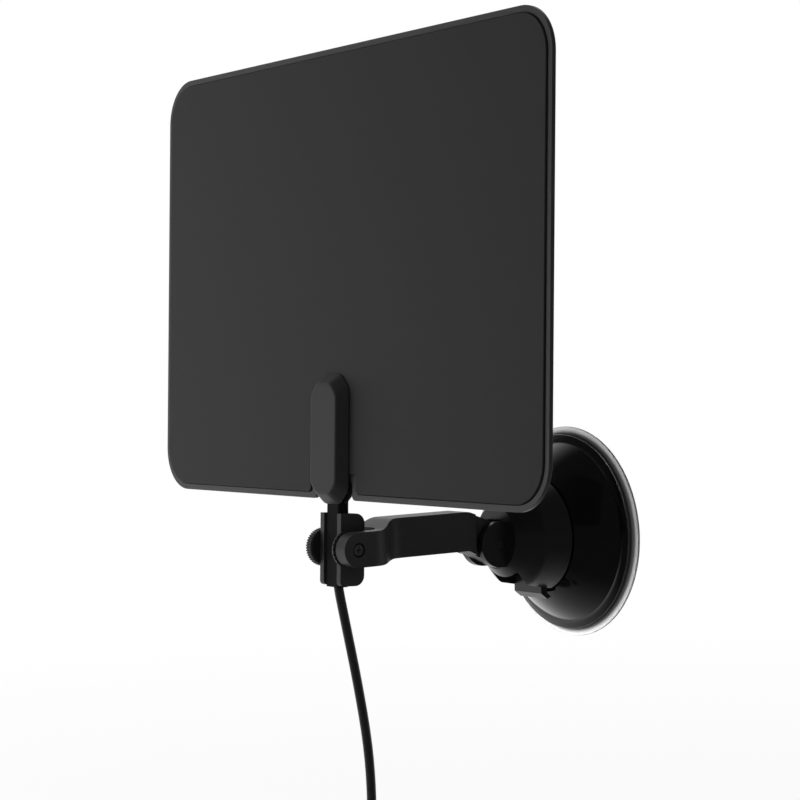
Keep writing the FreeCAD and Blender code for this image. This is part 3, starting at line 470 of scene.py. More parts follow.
def rounded_loop(corners):
    """Points of a closed outline whose corners, given as (across, up, radius), are rounded."""
    points = []
    for index, (across, up, radius) in enumerate(corners):
        if radius == 0.0:
            points.append((across, up))
            continue
        corner = Vector((across, up, 0.0))
        before = (Vector((*corners[index - 1][:2], 0.0)) - corner).normalized()
        after = (Vector((*corners[(index + 1) % len(corners)][:2], 0.0)) - corner).normalized()
        half_turn = 0.5 * before.angle(after)
        middle = corner + (before + after).normalized() * (radius / math.sin(half_turn))
        first = (corner + before * (radius / math.tan(half_turn)) - middle).normalized()
        last = (corner + after * (radius / math.tan(half_turn)) - middle).normalized()
        for step in range(CORNER_STEPS + 1):
            point = middle + first.slerp(last, step / CORNER_STEPS) * radius
            points.append((point.x, point.y))
    return points


def seen_from_front(across, up, height):
    return Vector((across, height, up)) * MM


def seen_from_side(across, up, height):
    return Vector((height, across, up)) * MM


def seen_from_above(across, up, height):
    return Vector((across, up, height)) * MM


def solid_mesh(name, shape):
    """A mesh of a closed shape whose faces all point outwards."""
    bmesh.ops.recalc_face_normals(shape, faces=shape.faces)
    mesh = bpy.data.meshes.new(name)
    shape.to_mesh(mesh)
    shape.free()
    return mesh


def lofted(name, view, sections, place):
    """A closed solid through (height, outline) sections of as many points each, put at its place."""
    shape = bmesh.new()
    rings = []
    for height, loop in sections:
        rings.append([shape.verts.new(place @ view(*point, height)) for point in loop])
    for low, high in zip(rings, rings[1:]):
        for step, vertex in enumerate(low):
            after = (step + 1) % len(low)
            shape.faces.new((vertex, low[after], high[after], high[step]))
    shape.faces.new(rings[0])
    shape.faces.new(rings[-1])
    return new_piece(name, solid_mesh(name, shape))


def block_of(name, view, heights, outline, place):
    """A solid of one outline between two heights."""
    return lofted(name, view, [(height, outline) for height in heights], place)


def joined(obj, other):
    """Puts another piece's mesh into a piece, as a shell of its own."""
    shape = bmesh.new()
    shape.from_mesh(obj.data)
    shape.from_mesh(other.data)
    shape.to_mesh(obj.data)
    shape.free()
    bpy.data.objects.remove(other)


def box_outline(left, low, right, high):
    return [(left, low), (right, low), (right, high), (left, high)]


def worked(obj, operation, *tools):
    """Joins, cuts or trims a piece by other solids, which are used up."""
    for tool in tools:
        step = obj.modifiers.new(tool.name, "BOOLEAN")
        step.operation = operation
        step.solver = "EXACT"
        step.object = tool
    settle(obj)
    for tool in tools:
        bpy.data.objects.remove(tool)


ORIGIN = (0.0, 0.0, 0.0)
ALONG_X = (1.0, 0.0, 0.0)
ALONG_Z = (0.0, 0.0, 1.0)


def lathe(name, profile, centre, axis, steps):
    """A closed turned piece. The profile is (radius, height) pairs in mm, height along the axis."""
    axis = Vector(axis).normalized()
    side = axis.orthogonal().normalized()
    other = axis.cross(side)
    shape = bmesh.new()
    rings = []
    for radius, height in profile:
        middle = Vector(centre) + axis * height * MM
        if radius == 0.0:
            rings.append([shape.verts.new(middle)])
            continue
        ring = []
        for step in range(steps):
            turn = 2.0 * math.pi * step / steps
            out = side * math.cos(turn) + other * math.sin(turn)
            ring.append(shape.verts.new(middle + out * radius * MM))
        rings.append(ring)
    pairs = list(zip(rings, rings[1:]))
    if profile[0][0] > 0.0 and profile[-1][0] > 0.0:
        pairs.append((rings[-1], rings[0]))
    for low, high in pairs:
        for step in range(steps):
            after = (step + 1) % steps
            if len(low) == 1:
                shape.faces.new((low[0], high[after], high[step]))
            elif len(high) == 1:
                shape.faces.new((low[step], low[after], high[0]))
            else:
                shape.faces.new((low[step], low[after], high[after], high[step]))
    mesh = solid_mesh(name, shape)
    smooth_by_angle(mesh, SMOOTH_ANGLE)
    return mesh


def turned(name, profile, centre, axis, steps):
    return new_piece(name, lathe(name, profile, centre, axis, steps))


def bow(centre, radius, start, end, steps):
    """Points of a profile's arc, angles in degrees from the radius towards the height."""
    points = []
    for step in range(steps + 1):
        turn = math.radians(start + (end - start) * step / steps)
        points.append((centre[0] + radius * math.cos(turn), centre[1] + radius * math.sin(turn)))
    return points


# The lead: straight out of the stem, down, into a tied coil below the view, and to its plug
LEAD_DIAMETER = 3.2
LEAD_START = (0.0, -100.73, -9.91)
LEAD_ROUTE = [
    LEAD_START,
    (0.0, -100.79, -11.21),
    (0.0, -98.59, -22.11),
    (0.0, -94.09, -44.01),
    (0.0, -90.49, -65.91),
    (0.0, -89.69, -84.01),
    (1.5, -91.5, -94.0),
    (4.0, -93.3, -103.0),
]
LEAD_END = [
    (-10.0, -93.6, -90.4),
    (0.0, -96.5, -91.5),
    (9.0, -97.0, -98.0),
    (14.5, -96.0, -108.0),
    (15.5, -95.49, -114.5),
    (15.5, -95.49, -120.01),
]
COIL_CENTRE = (-18.5, -89.99, -115.01)
COIL_RADIUS = 18.5
COIL_TURNS = 11.75
COIL_POINTS_A_TURN = 16
BUNDLE_RING = 6.18
BUNDLE_START = math.radians(27.5)
BUNDLE_STEP = math.radians(30.0)


def coil_points():
    """Turns that lie round the bundle's middle, each one a diameter further round than the last."""
    points = []
    flat = 0.5 * (1.0 + math.cos(math.pi / COIL_POINTS_A_TURN))
    for step in range(int(COIL_TURNS * COIL_POINTS_A_TURN) + 1):
        turn = step / COIL_POINTS_A_TURN
        lay = BUNDLE_START + BUNDLE_STEP * turn
        radius = (COIL_RADIUS + BUNDLE_RING * math.cos(lay)) / flat
        round_it = -2.0 * math.pi * turn
        points.append((
            COIL_CENTRE[0] + radius * math.cos(round_it),
            COIL_CENTRE[1] - BUNDLE_RING * math.sin(lay),
            COIL_CENTRE[2] + radius * math.sin(round_it),
        ))
    return points


def make_lead():
    curve = bpy.data.curves.new("lead", "CURVE")
    curve.dimensions = "3D"
    curve.bevel_depth = 0.5 * LEAD_DIAMETER * MM
    curve.bevel_resolution = 4
    curve.resolution_u = 4
    curve.use_fill_caps = True
    spline = curve.splines.new("NURBS")
    route = LEAD_ROUTE + coil_points() + LEAD_END
    spline.points.add(len(route) - 1)
    for point, place in zip(spline.points, route):
        point.co = (*(Vector(place) * MM), 1.0)
    spline.order_u = 3
    spline.use_endpoint_u = True
    spline.use_smooth = True
    obj = bpy.data.objects.new("lead", curve)
    scene.collection.objects.link(obj)
    return obj


# Moulded pieces with the CAD shape and rounded edges, the notch drawn in and the lever's tab shortened
NOTCH_INNER = 9.0
NOTCH_HALF = 12.4
NOTCH_FADE = 22.0
NOTCH_TOP = 27.0
NOTCH_DRAWN_IN = 2.0
TAB_START = Vector((0.0, -17.6, -22.4)) * MM
TAB_WAY = Vector((0.0, 8.4, -11.3)).normalized()
TAB_KEPT = 0.2
COLLAR_BOTTOM = -17.0
NECK_KEPT = 0.6
LONG_EDGE = 3.5


def narrow_notch(vertex):
    """Brings the panel's notch close to the sides of the housing."""
    place = ANTENNA_PLACE.inverted() @ vertex.co / MM
    aside = abs(place.x)
    if NOTCH_INNER < aside < NOTCH_FADE and place.z < NOTCH_TOP:
        share = min(1.0, (NOTCH_FADE - aside) / (NOTCH_FADE - NOTCH_HALF))
        vertex.co.x -= math.copysign(NOTCH_DRAWN_IN * share * MM, place.x)


def shorten_tab(vertex):
    """Draws the lever's tab in, so that it ends just below the collar."""
    along = (vertex.co - TAB_START).dot(TAB_WAY)
    if along > 0.0 and vertex.co.z < TAB_START.z:
        vertex.co -= TAB_WAY * along * (1.0 - TAB_KEPT)
    below = COLLAR_BOTTOM * MM - vertex.co.z
    if below > 0.0:
        vertex.co.z += below * (1.0 - NECK_KEPT)


for node, body, slot, width, finish, reshape, shortest in [
    ("panel_front_cover", "antenna", "panel_face", 0.20, "panel_face", narrow_notch, 0.0),
    ("panel_rear_cover", "antenna", "panel_rim", 0.30, "panel_rim", narrow_notch, 0.0),
    ("cable_tail", "antenna", "stem", 0.30, "stem", None, 0.0),
    ("clip_channel", "antenna", "arm", 0.45, "arm", None, LONG_EDGE),
    ("neck_collar", "cup", "arm", 0.35, "collar", None, 0.0),
    ("lock_lever", "lever", "arm", 0.30, "collar", shorten_tab, 0.0),
]:
    softened(node, body, slot, width, finish, reshape, shortest)
tie = softened("coil_tie", "antenna", "tie", 0.20)


# Housing: two bevelled covers with round corners, in the antenna's own frame
HOUSING_HALF = 9.8
HOUSING_LOW = 14.35
HOUSING_HIGH = 58.15
HOUSING_CUT = 4.8
HOUSING_CORNER = 5.4
HOUSING_BEVEL = (2.4, 3.7)
HOUSING_ROUNDING = 0.6
HOUSING_SHARP = 20.0
HOUSING_WALL = 1.4
HOUSING_DEPTH = 4.2
PANEL_FACE = -2.0
HOLLOW_OVERLAP = 0.2
STEM_SPAN = (-0.2, 2.2)
STEM_ROOMS = {
    "stem_room": box_outline(-3.8, 13.0, 3.8, 18.0),
    "anchor_room": box_outline(-5.65, 17.15, 5.65, 21.05),
}
SCREW_SEATS = [(0.0, 3.0, 27.0), (0.0, 3.0, 50.0)]
SHANK_ROOM = 1.35
HEAD_ROOM = 2.4
SCREW_ROOM_STEPS = 32


def housing_outline(side_inset, end_inset):
    """The cover's long octagon with round corners, drawn in at its sides and ends."""
    side = HOUSING_HALF - side_inset
    low = HOUSING_LOW + end_inset
    high = HOUSING_HIGH - end_inset
    cut = HOUSING_CUT - 0.5 * side_inset
    corner = HOUSING_CORNER - 0.5 * side_inset
    return rounded_loop([
        (-side, low + cut, corner), (-side + cut, low, corner),
        (side - cut, low, corner), (side, low + cut, corner),
        (side, high - cut, corner), (side - cut, high, corner),
        (-side + cut, high, corner), (-side, high - cut, corner),
    ])


def housing_cover(name, node, seat, face, *tools):
    sections = [(seat, housing_outline(0.0, 0.0)), (face, housing_outline(*HOUSING_BEVEL))]
    cover = lofted(name, seen_from_front, sections, ANTENNA_PLACE)
    rounded_off(cover, HOUSING_ROUNDING, HOUSING_SHARP)
    worked(cover, "DIFFERENCE", *tools)
    keep_flats(cover.data)
    declare(cover, "antenna", "housing", node)


def stepped_bore(low, seat, high):
    """Profile of a hole for a screw's shank with a wider one for its head."""
    return [
        (0.0, low), (SHANK_ROOM, low), (SHANK_ROOM, seat),
        (HEAD_ROOM, seat), (HEAD_ROOM, high), (0.0, high),
    ]


def screw_room(name, seat):
    axis = ANTENNA_PLACE.to_3x3() @ Vector((0.0, 1.0, 0.0))
    middle = ANTENNA_PLACE @ (Vector(seat) * MM)
    return turned(name, stepped_bore(low=-4.0, seat=0.0, high=2.0), middle, axis, SCREW_ROOM_STEPS)


inside = housing_outline(*(inset + HOUSING_WALL for inset in HOUSING_BEVEL))
hollow_heights = (PANEL_FACE + HOLLOW_OVERLAP, PANEL_FACE - HOUSING_DEPTH + HOUSING_WALL)
hollow = block_of("hollow", seen_from_front, hollow_heights, inside, ANTENNA_PLACE)
housing_cover("housing_front_cover", "housing_front", PANEL_FACE, PANEL_FACE - HOUSING_DEPTH, hollow)
stem_rooms = [
    block_of(name, seen_from_front, STEM_SPAN, outline, ANTENNA_PLACE)
    for name, outline in STEM_ROOMS.items()
]
head_rooms = [screw_room("head_room_%d" % index, seat) for index, seat in enumerate(SCREW_SEATS)]
housing_cover("housing_rear_cover", "housing_rear", 0.0, HOUSING_DEPTH, *stem_rooms, *head_rooms)


# Arm: plan outline with an S-bend, trimmed to its side outline, with a ring of teeth inside the cheek
ARM_PLACE = Matrix.Translation(FRONT_PIVOT)
ARM_SPAN = 63.9
ARM_FALL = 3.4
CHEEK_RADIUS = 5.8
CHEEK_INSIDE = 7.7
CHEEK_OUTSIDE = 13.0
EYE_RADIUS = 7.6
EYE_HALF = 3.1
BEAM_HALF = 5.5
BEAM_TOP = 8.8
BEAM_BOTTOM = -4.7
BEND_START = 10.4
BEND_END = 18.2
BEND_RADIUS = 12.0
STEP_IN = 11.4
STEP_ROUND = 2.4
BEAM_END = 54.5
BEAM_END_ROUND = 1.0
EYE_ROUND = 0.8
BEAM_SHOULDER = 51.0
SHOULDER_ROUND = 6.0
RISE_ROUND = 9.0
ARM_NEAR = -8.0
ARM_FAR = 74.0
ARM_REACH = 20.0
ARM_ROUNDING = 0.45
ARM_SHARP = 40.0
ARC_STEPS = 16
BORE_RADIUS = 2.0
BORE_REACH = 5.0
ARM_HOLE_STEPS = 40
CHEEK_TEETH = {"inner": 3.2, "outer": 5.4, "back": 7.9, "crest": 7.1, "root": 7.55, "teeth": 24}


def arc_corners(centre, radius, start, end):
    return [(across, up, 0.0) for across, up in bow(centre, radius, start, end, ARC_STEPS)]


def toothed_ring(name, sizes, place):
    """A ring of radial teeth that faces -X, whose crests and roots take turns round it."""
    inner, outer, back = sizes["inner"], sizes["outer"], sizes["back"]
    shape = bmesh.new()
    columns = []
    for step in range(2 * sizes["teeth"]):
        turn = math.pi * step / sizes["teeth"]
        way = (math.cos(turn), math.sin(turn))
        height = sizes["crest"] if step % 2 == 0 else sizes["root"]
        columns.append([
            shape.verts.new(place @ seen_from_side(*(part * radius for part in way), reach))
            for radius, reach in ((inner, back), (inner, height), (outer, height), (outer, back))
        ])
    for column, after in zip(columns, columns[1:] + columns[:1]):
        for low, high in ((0, 1), (1, 2), (2, 3), (3, 0)):
            shape.faces.new((column[low], column[high], after[high], after[low]))
    return new_piece(name, solid_mesh(name, shape))


def make_arm():
    plan = rounded_loop([
        (CHEEK_INSIDE, ARM_NEAR, 0.0), (CHEEK_OUTSIDE, ARM_NEAR, 0.0),
        (CHEEK_OUTSIDE, BEND_START, BEND_RADIUS), (BEAM_HALF, BEND_END, BEND_RADIUS),
        (BEAM_HALF, BEAM_END, BEAM_END_ROUND), (EYE_HALF, BEAM_END, EYE_ROUND),
        (EYE_HALF, ARM_FAR, 0.0), (-EYE_HALF, ARM_FAR, 0.0),
        (-EYE_HALF, BEAM_END, EYE_ROUND), (-BEAM_HALF, BEAM_END, BEAM_END_ROUND),
        (-BEAM_HALF, STEP_IN, STEP_ROUND), (CHEEK_INSIDE, STEP_IN, STEP_ROUND),
    ])
    over = [
        (BEND_START, CHEEK_RADIUS, RISE_ROUND), (BEND_END, BEAM_TOP, RISE_ROUND),
        (BEAM_SHOULDER, BEAM_TOP, SHOULDER_ROUND),
    ]
    under = [
        (BEAM_SHOULDER, BEAM_BOTTOM, SHOULDER_ROUND), (BEND_END, BEAM_BOTTOM, RISE_ROUND),
        (BEND_START, -CHEEK_RADIUS, RISE_ROUND),
    ]
    cheek_end = arc_corners((0.0, 0.0), CHEEK_RADIUS, 270.0, 90.0)
    eye_end = arc_corners((ARM_SPAN, -ARM_FALL), EYE_RADIUS, 90.0, -90.0)
    side = rounded_loop(cheek_end + over + eye_end + under)
    heights = (-ARM_REACH, ARM_REACH)
    arm = block_of("support_arm_moulded", seen_from_above, heights, plan, ARM_PLACE)
    trim = block_of("arm_side", seen_from_side, heights, side, ARM_PLACE)
    worked(arm, "INTERSECT", trim)
    recess = stepped_bore(low=6.0, seat=11.8, high=14.0)
    bore = [(0.0, -BORE_REACH), (BORE_RADIUS, -BORE_REACH), (BORE_RADIUS, BORE_REACH), (0.0, BORE_REACH)]
    worked(
        arm, "DIFFERENCE",
        turned("pivot_recess", recess, FRONT_PIVOT, ALONG_X, ARM_HOLE_STEPS),
        turned("eye_bore", bore, REAR_PIVOT, ALONG_X, ARM_HOLE_STEPS),
    )
    rounded_off(arm, ARM_ROUNDING, ARM_SHARP)
    joined(arm, toothed_ring("cheek_teeth", CHEEK_TEETH, ARM_PLACE))
    declare(arm, "arm", "arm", "support_arm")


make_arm()


# Bell and pad, turned about the suction axis; heights count out from the wall
SUCTION_AXIS = (0.0, -1.0, 0.0)
WALL = Vector((0.0, 0.0, 0.0))
BELL_PROFILE = (
    [(31.2, 2.3), (34.3, 2.3), (34.7, 2.65), (34.7, 3.3)]
    + bow((34.3, 3.3), 0.4, 0.0, 75.0, 4)
    + [(33.2, 4.0), (32.6, 4.2)]
    + bow((-7.36, -23.03), 47.7, 34.8, 54.0, 40)
    + [(20.4, 15.55), (18.7, 15.55), (18.6, 16.1), (16.6, 16.1), (16.6, 13.0), (19.0, 13.0)]
)
PAD_PROFILE = (
    [(8.4, 0.9), (8.4, 0.5), (12.0, 0.45), (30.0, 0.25), (31.0, 0.05), (37.1, 0.0)]
    + bow((36.9, 0.55), 0.55, -60.0, 60.0, 5)
    + [(36.4, 1.25), (35.4, 1.75), (34.4, 2.15), (33.6, 2.25), (11.6, 2.3), (11.0, 2.8), (11.0, 7.2)]
    + [(10.6, 7.6), (8.4, 7.6), (8.0, 7.2)]
)
CUP_STEPS = 192

for name, profile, slot, node in [
    ("polished_bell", BELL_PROFILE, "bell", "cup_bell"),
    ("soft_pad", PAD_PROFILE, "pad", "suction_pad"),
]:
    declare(turned(name, profile, WALL, SUCTION_AXIS, CUP_STEPS), "cup", slot, node)


# Geometry trees for ribs and for screws
HEAD_TAPER = 0.82
CUT_REACH = 1.15


def raised(tree, geometry, height):
    """Moves a geometry up by a height."""
    lift = tree.nodes.new("ShaderNodeCombineXYZ")
    tree.links.new(height, lift.inputs["Z"])
    move = tree.nodes.new("GeometryNodeTransform")
    tree.links.new(geometry, move.inputs["Geometry"])
    tree.links.new(lift.outputs[0], move.inputs["Translation"])
    return move.outputs[0]


def end_tree(tree, geometry, finish, result):
    """Makes the instances real, gives them their finish and hands them out."""
    real = tree.nodes.new("GeometryNodeRealizeInstances")
    tree.links.new(geometry, real.inputs[0])
    dressed = tree.nodes.new("GeometryNodeSetMaterial")
    tree.links.new(real.outputs[0], dressed.inputs["Geometry"])
    tree.links.new(finish, dressed.inputs["Material"])
    tree.links.new(dressed.outputs[0], result.inputs[0])


def make_ribbed_ring():
    """Ribs set round a core, then the whole turned and moved to its place. Sizes are metres."""
    tree, given, result = new_group(
        "ribbed_ring",
        "GeometryNodeTree",
        [
            ("Core", "NodeSocketGeometry", None),
            ("Ribs", "NodeSocketInt", 36),
            ("Ring Radius", "NodeSocketFloat", 6.0 * MM),
            ("Rib Radius", "NodeSocketFloat", 0.4 * MM),
            ("Rib Length", "NodeSocketFloat", 2.6 * MM),
            ("Rib Height", "NodeSocketFloat", 1.6 * MM),
            ("Turn", "NodeSocketVector", (0.0, 0.0, 0.0)),
            ("Place", "NodeSocketVector", (0.0, 0.0, 0.0)),
            ("Finish", "NodeSocketMaterial", None),
        ],
        [("Geometry", "NodeSocketGeometry")],
    )
    link = tree.links.new
    ring = tree.nodes.new("GeometryNodeMeshCircle")
    link(given.outputs["Ribs"], ring.inputs["Vertices"])
    link(given.outputs["Ring Radius"], ring.inputs["Radius"])
    rib = tree.nodes.new("GeometryNodeMeshCylinder")
    rib.inputs["Vertices"].default_value = 8
    link(given.outputs["Rib Radius"], rib.inputs["Radius"])
    link(given.outputs["Rib Length"], rib.inputs["Depth"])
    outward = tree.nodes.new("FunctionNodeAlignRotationToVector")
    outward.axis = "X"
    link(tree.nodes.new("GeometryNodeInputPosition").outputs[0], outward.inputs["Vector"])
    ribs = tree.nodes.new("GeometryNodeInstanceOnPoints")
    link(ring.outputs["Mesh"], ribs.inputs["Points"])
    link(rib.outputs["Mesh"], ribs.inputs["Instance"])
    link(outward.outputs[0], ribs.inputs["Rotation"])
    whole = tree.nodes.new("GeometryNodeJoinGeometry")
    link(raised(tree, ribs.outputs[0], given.outputs["Rib Height"]), whole.inputs[0])
    link(given.outputs["Core"], whole.inputs[0])
    placed = tree.nodes.new("GeometryNodeTransform")
    link(whole.outputs[0], placed.inputs["Geometry"])
    link(given.outputs["Place"], placed.inputs["Translation"])
    link(given.outputs["Turn"], placed.inputs["Rotation"])
    end_tree(tree, placed.outputs[0], given.outputs["Finish"], result)
    return tree


def make_cross_screw():
    """A screw with a cross cut in its head, head up, set on each point. Sizes are metres."""
    tree, given, result = new_group(
        "cross_screw",
        "GeometryNodeTree",
        [
            ("Seats", "NodeSocketGeometry", None),
            ("Head Radius", "NodeSocketFloat", 2.2 * MM),
            ("Head Height", "NodeSocketFloat", 1.2 * MM),
            ("Shank Radius", "NodeSocketFloat", 1.1 * MM),
            ("Shank Length", "NodeSocketFloat", 7.0 * MM),
            ("Cut Width", "NodeSocketFloat", 0.5 * MM),
            ("Turn", "NodeSocketVector", (0.0, 0.0, 0.0)),
            ("Finish", "NodeSocketMaterial", None),
        ],
        [("Geometry", "NodeSocketGeometry")],
    )
    link = tree.links.new

    def times(first, second):
        return math_node(tree, "MULTIPLY", first, second)

    head = tree.nodes.new("GeometryNodeMeshCone")
    head.inputs["Vertices"].default_value = 32
    link(times(given.outputs["Head Radius"], HEAD_TAPER), head.inputs["Radius Top"])
    link(given.outputs["Head Radius"], head.inputs["Radius Bottom"])
    link(given.outputs["Head Height"], head.inputs["Depth"])
    cross = []
    for long_side, short_side in (("X", "Y"), ("Y", "X")):
        size = tree.nodes.new("ShaderNodeCombineXYZ")
        link(times(given.outputs["Head Radius"], CUT_REACH), size.inputs[long_side])
        link(given.outputs["Cut Width"], size.inputs[short_side])
        link(given.outputs["Head Height"], size.inputs["Z"])
        bar = tree.nodes.new("GeometryNodeMeshCube")
        link(size.outputs[0], bar.inputs["Size"])
        cross.append(raised(tree, bar.outputs["Mesh"], given.outputs["Head Height"]))
    cut = tree.nodes.new("GeometryNodeMeshBoolean")
    cut.operation = "DIFFERENCE"
    link(head.outputs["Mesh"], cut.inputs["Mesh 1"])
    for bar in cross:
        link(bar, cut.inputs["Mesh 2"])
    shank = tree.nodes.new("GeometryNodeMeshCylinder")
    shank.inputs["Vertices"].default_value = 24
    link(given.outputs["Shank Radius"], shank.inputs["Radius"])
    link(given.outputs["Shank Length"], shank.inputs["Depth"])
    whole = tree.nodes.new("GeometryNodeJoinGeometry")
    link(cut.outputs[0], whole.inputs[0])
    below = times(given.outputs["Shank Length"], -0.5)
    link(raised(tree, shank.outputs["Mesh"], below), whole.inputs[0])
    turned_screw = tree.nodes.new("GeometryNodeTransform")
    link(whole.outputs[0], turned_screw.inputs["Geometry"])
    link(given.outputs["Turn"], turned_screw.inputs["Rotation"])
    screws = tree.nodes.new("GeometryNodeInstanceOnPoints")
    link(given.outputs["Seats"], screws.inputs["Points"])
    link(turned_screw.outputs[0], screws.inputs["Instance"])
    end_tree(tree, screws.outputs[0], given.outputs["Finish"], result)
    return tree


RIBBED_RING = make_ribbed_ring()
CROSS_SCREW = make_cross_screw()


def grown(obj, tree, values):
    """Runs a geometry tree on a piece with its own sizes and keeps the plain mesh."""
    modifier = obj.modifiers.new(tree.name, "NODES")
    modifier.node_group = tree
    for item in tree.interface.items_tree:
        if item.in_out == "INPUT" and item.name in values:
            modifier[item.identifier] = values[item.name]
    settle(obj)


# Knurled thumb-screws and cross-cut screws
KNOB_RADIUS = 6.4
KNOB_THICKNESS = 3.2
KNOB_CHAMFER = 0.4
KNOB_SHANK = 1.9
SHANK_CHAMFER = 0.3
GROOVE_RADII = (4.6, 4.3, 3.9)
GROOVE_DEPTH = 0.25
BUTTON_RADIUS = 3.6
BUTTON_CHAMFER = 0.3
BUTTON_SIDE = 0.4
BUTTON_RISE = 0.6
KNOB_RIBS = 44
KNOB_STEPS = 72
RIB_RADIUS = 0.34
RIB_SHORTER = 0.5
CUT_SHARE = 0.26


def thumb_screw(name, body, node, inner_face, shank_reach, centre):
    """A knurled head whose inner face is at x = inner_face, with its shank towards +X."""
    core = KNOB_RADIUS - RIB_RADIUS
    face = KNOB_THICKNESS
    shank = [
        (0.0, -shank_reach), (KNOB_SHANK - SHANK_CHAMFER, -shank_reach),
        (KNOB_SHANK, SHANK_CHAMFER - shank_reach), (KNOB_SHANK, 0.0),
    ]
    head = [
        (core - KNOB_CHAMFER, 0.0), (core, KNOB_CHAMFER),
        (core, face - KNOB_CHAMFER), (core - KNOB_CHAMFER, face),
    ]
    groove = list(zip(GROOVE_RADII, (face, face - GROOVE_DEPTH, face - GROOVE_DEPTH)))
    button = [
        (BUTTON_RADIUS, face), (BUTTON_RADIUS, face + BUTTON_SIDE),
        (BUTTON_RADIUS - BUTTON_CHAMFER, face + BUTTON_RISE), (0.0, face + BUTTON_RISE),
    ]
    obj = turned(name, shank + head + groove + button, ORIGIN, ALONG_Z, KNOB_STEPS)
    grown(obj, RIBBED_RING, {
        "Ribs": KNOB_RIBS,
        "Ring Radius": core * MM,
        "Rib Radius": RIB_RADIUS * MM,
        "Rib Length": (KNOB_THICKNESS - RIB_SHORTER) * MM,
        "Rib Height": 0.5 * KNOB_THICKNESS * MM,
        "Turn": (0.0, math.radians(-90.0), 0.0),
        "Place": (inner_face * MM, centre.y, centre.z),
        "Finish": FINISH["knob"],
    })
    smooth_by_angle(obj.data, SMOOTH_ANGLE)
    declare(obj, body, "knob", node)


def screws(name, nodes, seats, turn, head_radius, head_height, shank_radius, shank_length):
    """Cross-cut screws at seats in the antenna's own frame."""
    mesh = bpy.data.meshes.new(name)
    mesh.from_pydata([Vector(seat) * MM for seat in seats], [], [])
    obj = new_piece(name, mesh)
    grown(obj, CROSS_SCREW, {
        "Head Radius": head_radius * MM,
        "Head Height": head_height * MM,
        "Shank Radius": shank_radius * MM,
        "Shank Length": shank_length * MM,
        "Cut Width": CUT_SHARE * head_radius * MM,
        "Turn": turn,
        "Finish": FINISH["screw"],
    })
    obj.data.transform(ANTENNA_PLACE)
    smooth_by_angle(obj.data, SMOOTH_ANGLE)
    declare(obj, "antenna", "screw", *nodes)


thumb_screw(
    "clamp_knob", "clamp_screw", "clamp_thumb_screw",
    inner_face=-6.3, shank_reach=2.55, centre=FRONT_PIVOT,
)
thumb_screw(
    "rear_knob", "rear_screw", "rear_thumb_screw",
    inner_face=-6.2, shank_reach=12.2, centre=REAR_PIVOT,
)
screws(
    "housing_screws", ("housing_screw_lower", "housing_screw_upper"), SCREW_SEATS,
    turn=(math.radians(-90.0), 0.0, 0.0),
    head_radius=2.15, head_height=1.15, shank_radius=1.1, shank_length=7.0,
)
screws(
    "pivot_screw_cut", ("pivot_screw",), [(11.85, 0.0, 0.0)],
    turn=(0.0, math.radians(90.0), 0.0),
    head_radius=2.05, head_height=0.85, shank_radius=1.2, shank_length=7.9,
)


# Plug with a ribbed grip
GRIP_REAR = Vector((15.5, -95.49, -118.71)) * MM
GRIP_STEPS = 48
GRIP_PROFILE = [
    (0.0, 0.0), (2.4, 0.0), (2.6, 0.3), (3.2, 2.4), (4.6, 5.6), (5.5, 8.0), (5.6, 9.0), (5.6, 19.6),
    (5.9, 19.9), (5.9, 20.7), (5.6, 21.0), (0.0, 21.0),
]

grip = turned("plug_grip_ribbed", GRIP_PROFILE, ORIGIN, ALONG_Z, GRIP_STEPS)
grown(grip, RIBBED_RING, {
    "Ribs": 18,
    "Ring Radius": 5.55 * MM,
    "Rib Radius": 0.42 * MM,
    "Rib Length": 9.4 * MM,
    "Rib Height": 14.2 * MM,
    "Turn": (math.radians(180.0), 0.0, 0.0),
    "Place": tuple(GRIP_REAR),
    "Finish": FINISH["lead"],
})
smooth_by_angle(grip.data, SMOOTH_ANGLE)
declare(grip, "antenna", "lead", "plug_grip")

lead = make_lead()
lead.data.materials.append(FINISH["lead"])
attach(lead, "antenna")
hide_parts("cable_tube", "cable_coil", "cable_end")

# Pieces that keep their CAD shape as it is
for node, slot in [
    ("plug_barrel", "plug_metal"), ("plug_pin", "plug_metal"), ("antenna_element", "foil"),
    ("amplifier_board", "board"), ("plunger", "arm"), ("lever_pin", "screw"), ("rear_nut", "collar"),
]:
    dress(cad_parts[node], slot)


# Floor, backdrop and light
FLOOR_HEIGHT = -163.0
FLOOR_HALF = 4000.0
BACKDROP_WAY = (-0.83, 0.55, 0.0)
WHITE = (1.0, 1.0, 1.0, 1.0)

# How white the floor is shown near the object, and the distances in metres over which that grows
FLOOR_NEAR_WHITE = 0.92
FLOOR_FADE = (0.25, 1.10)

# Where the mirrored floor, in metres, and the mirrored room go from dim to white, towards the backdrop
FLOOR_BACKDROP = (-0.15, 0.25)
ROOM_BACKDROP = (0.20, 0.95)
MIRRORED_DIM = 0.05
ROOM_LIGHT = 0.20


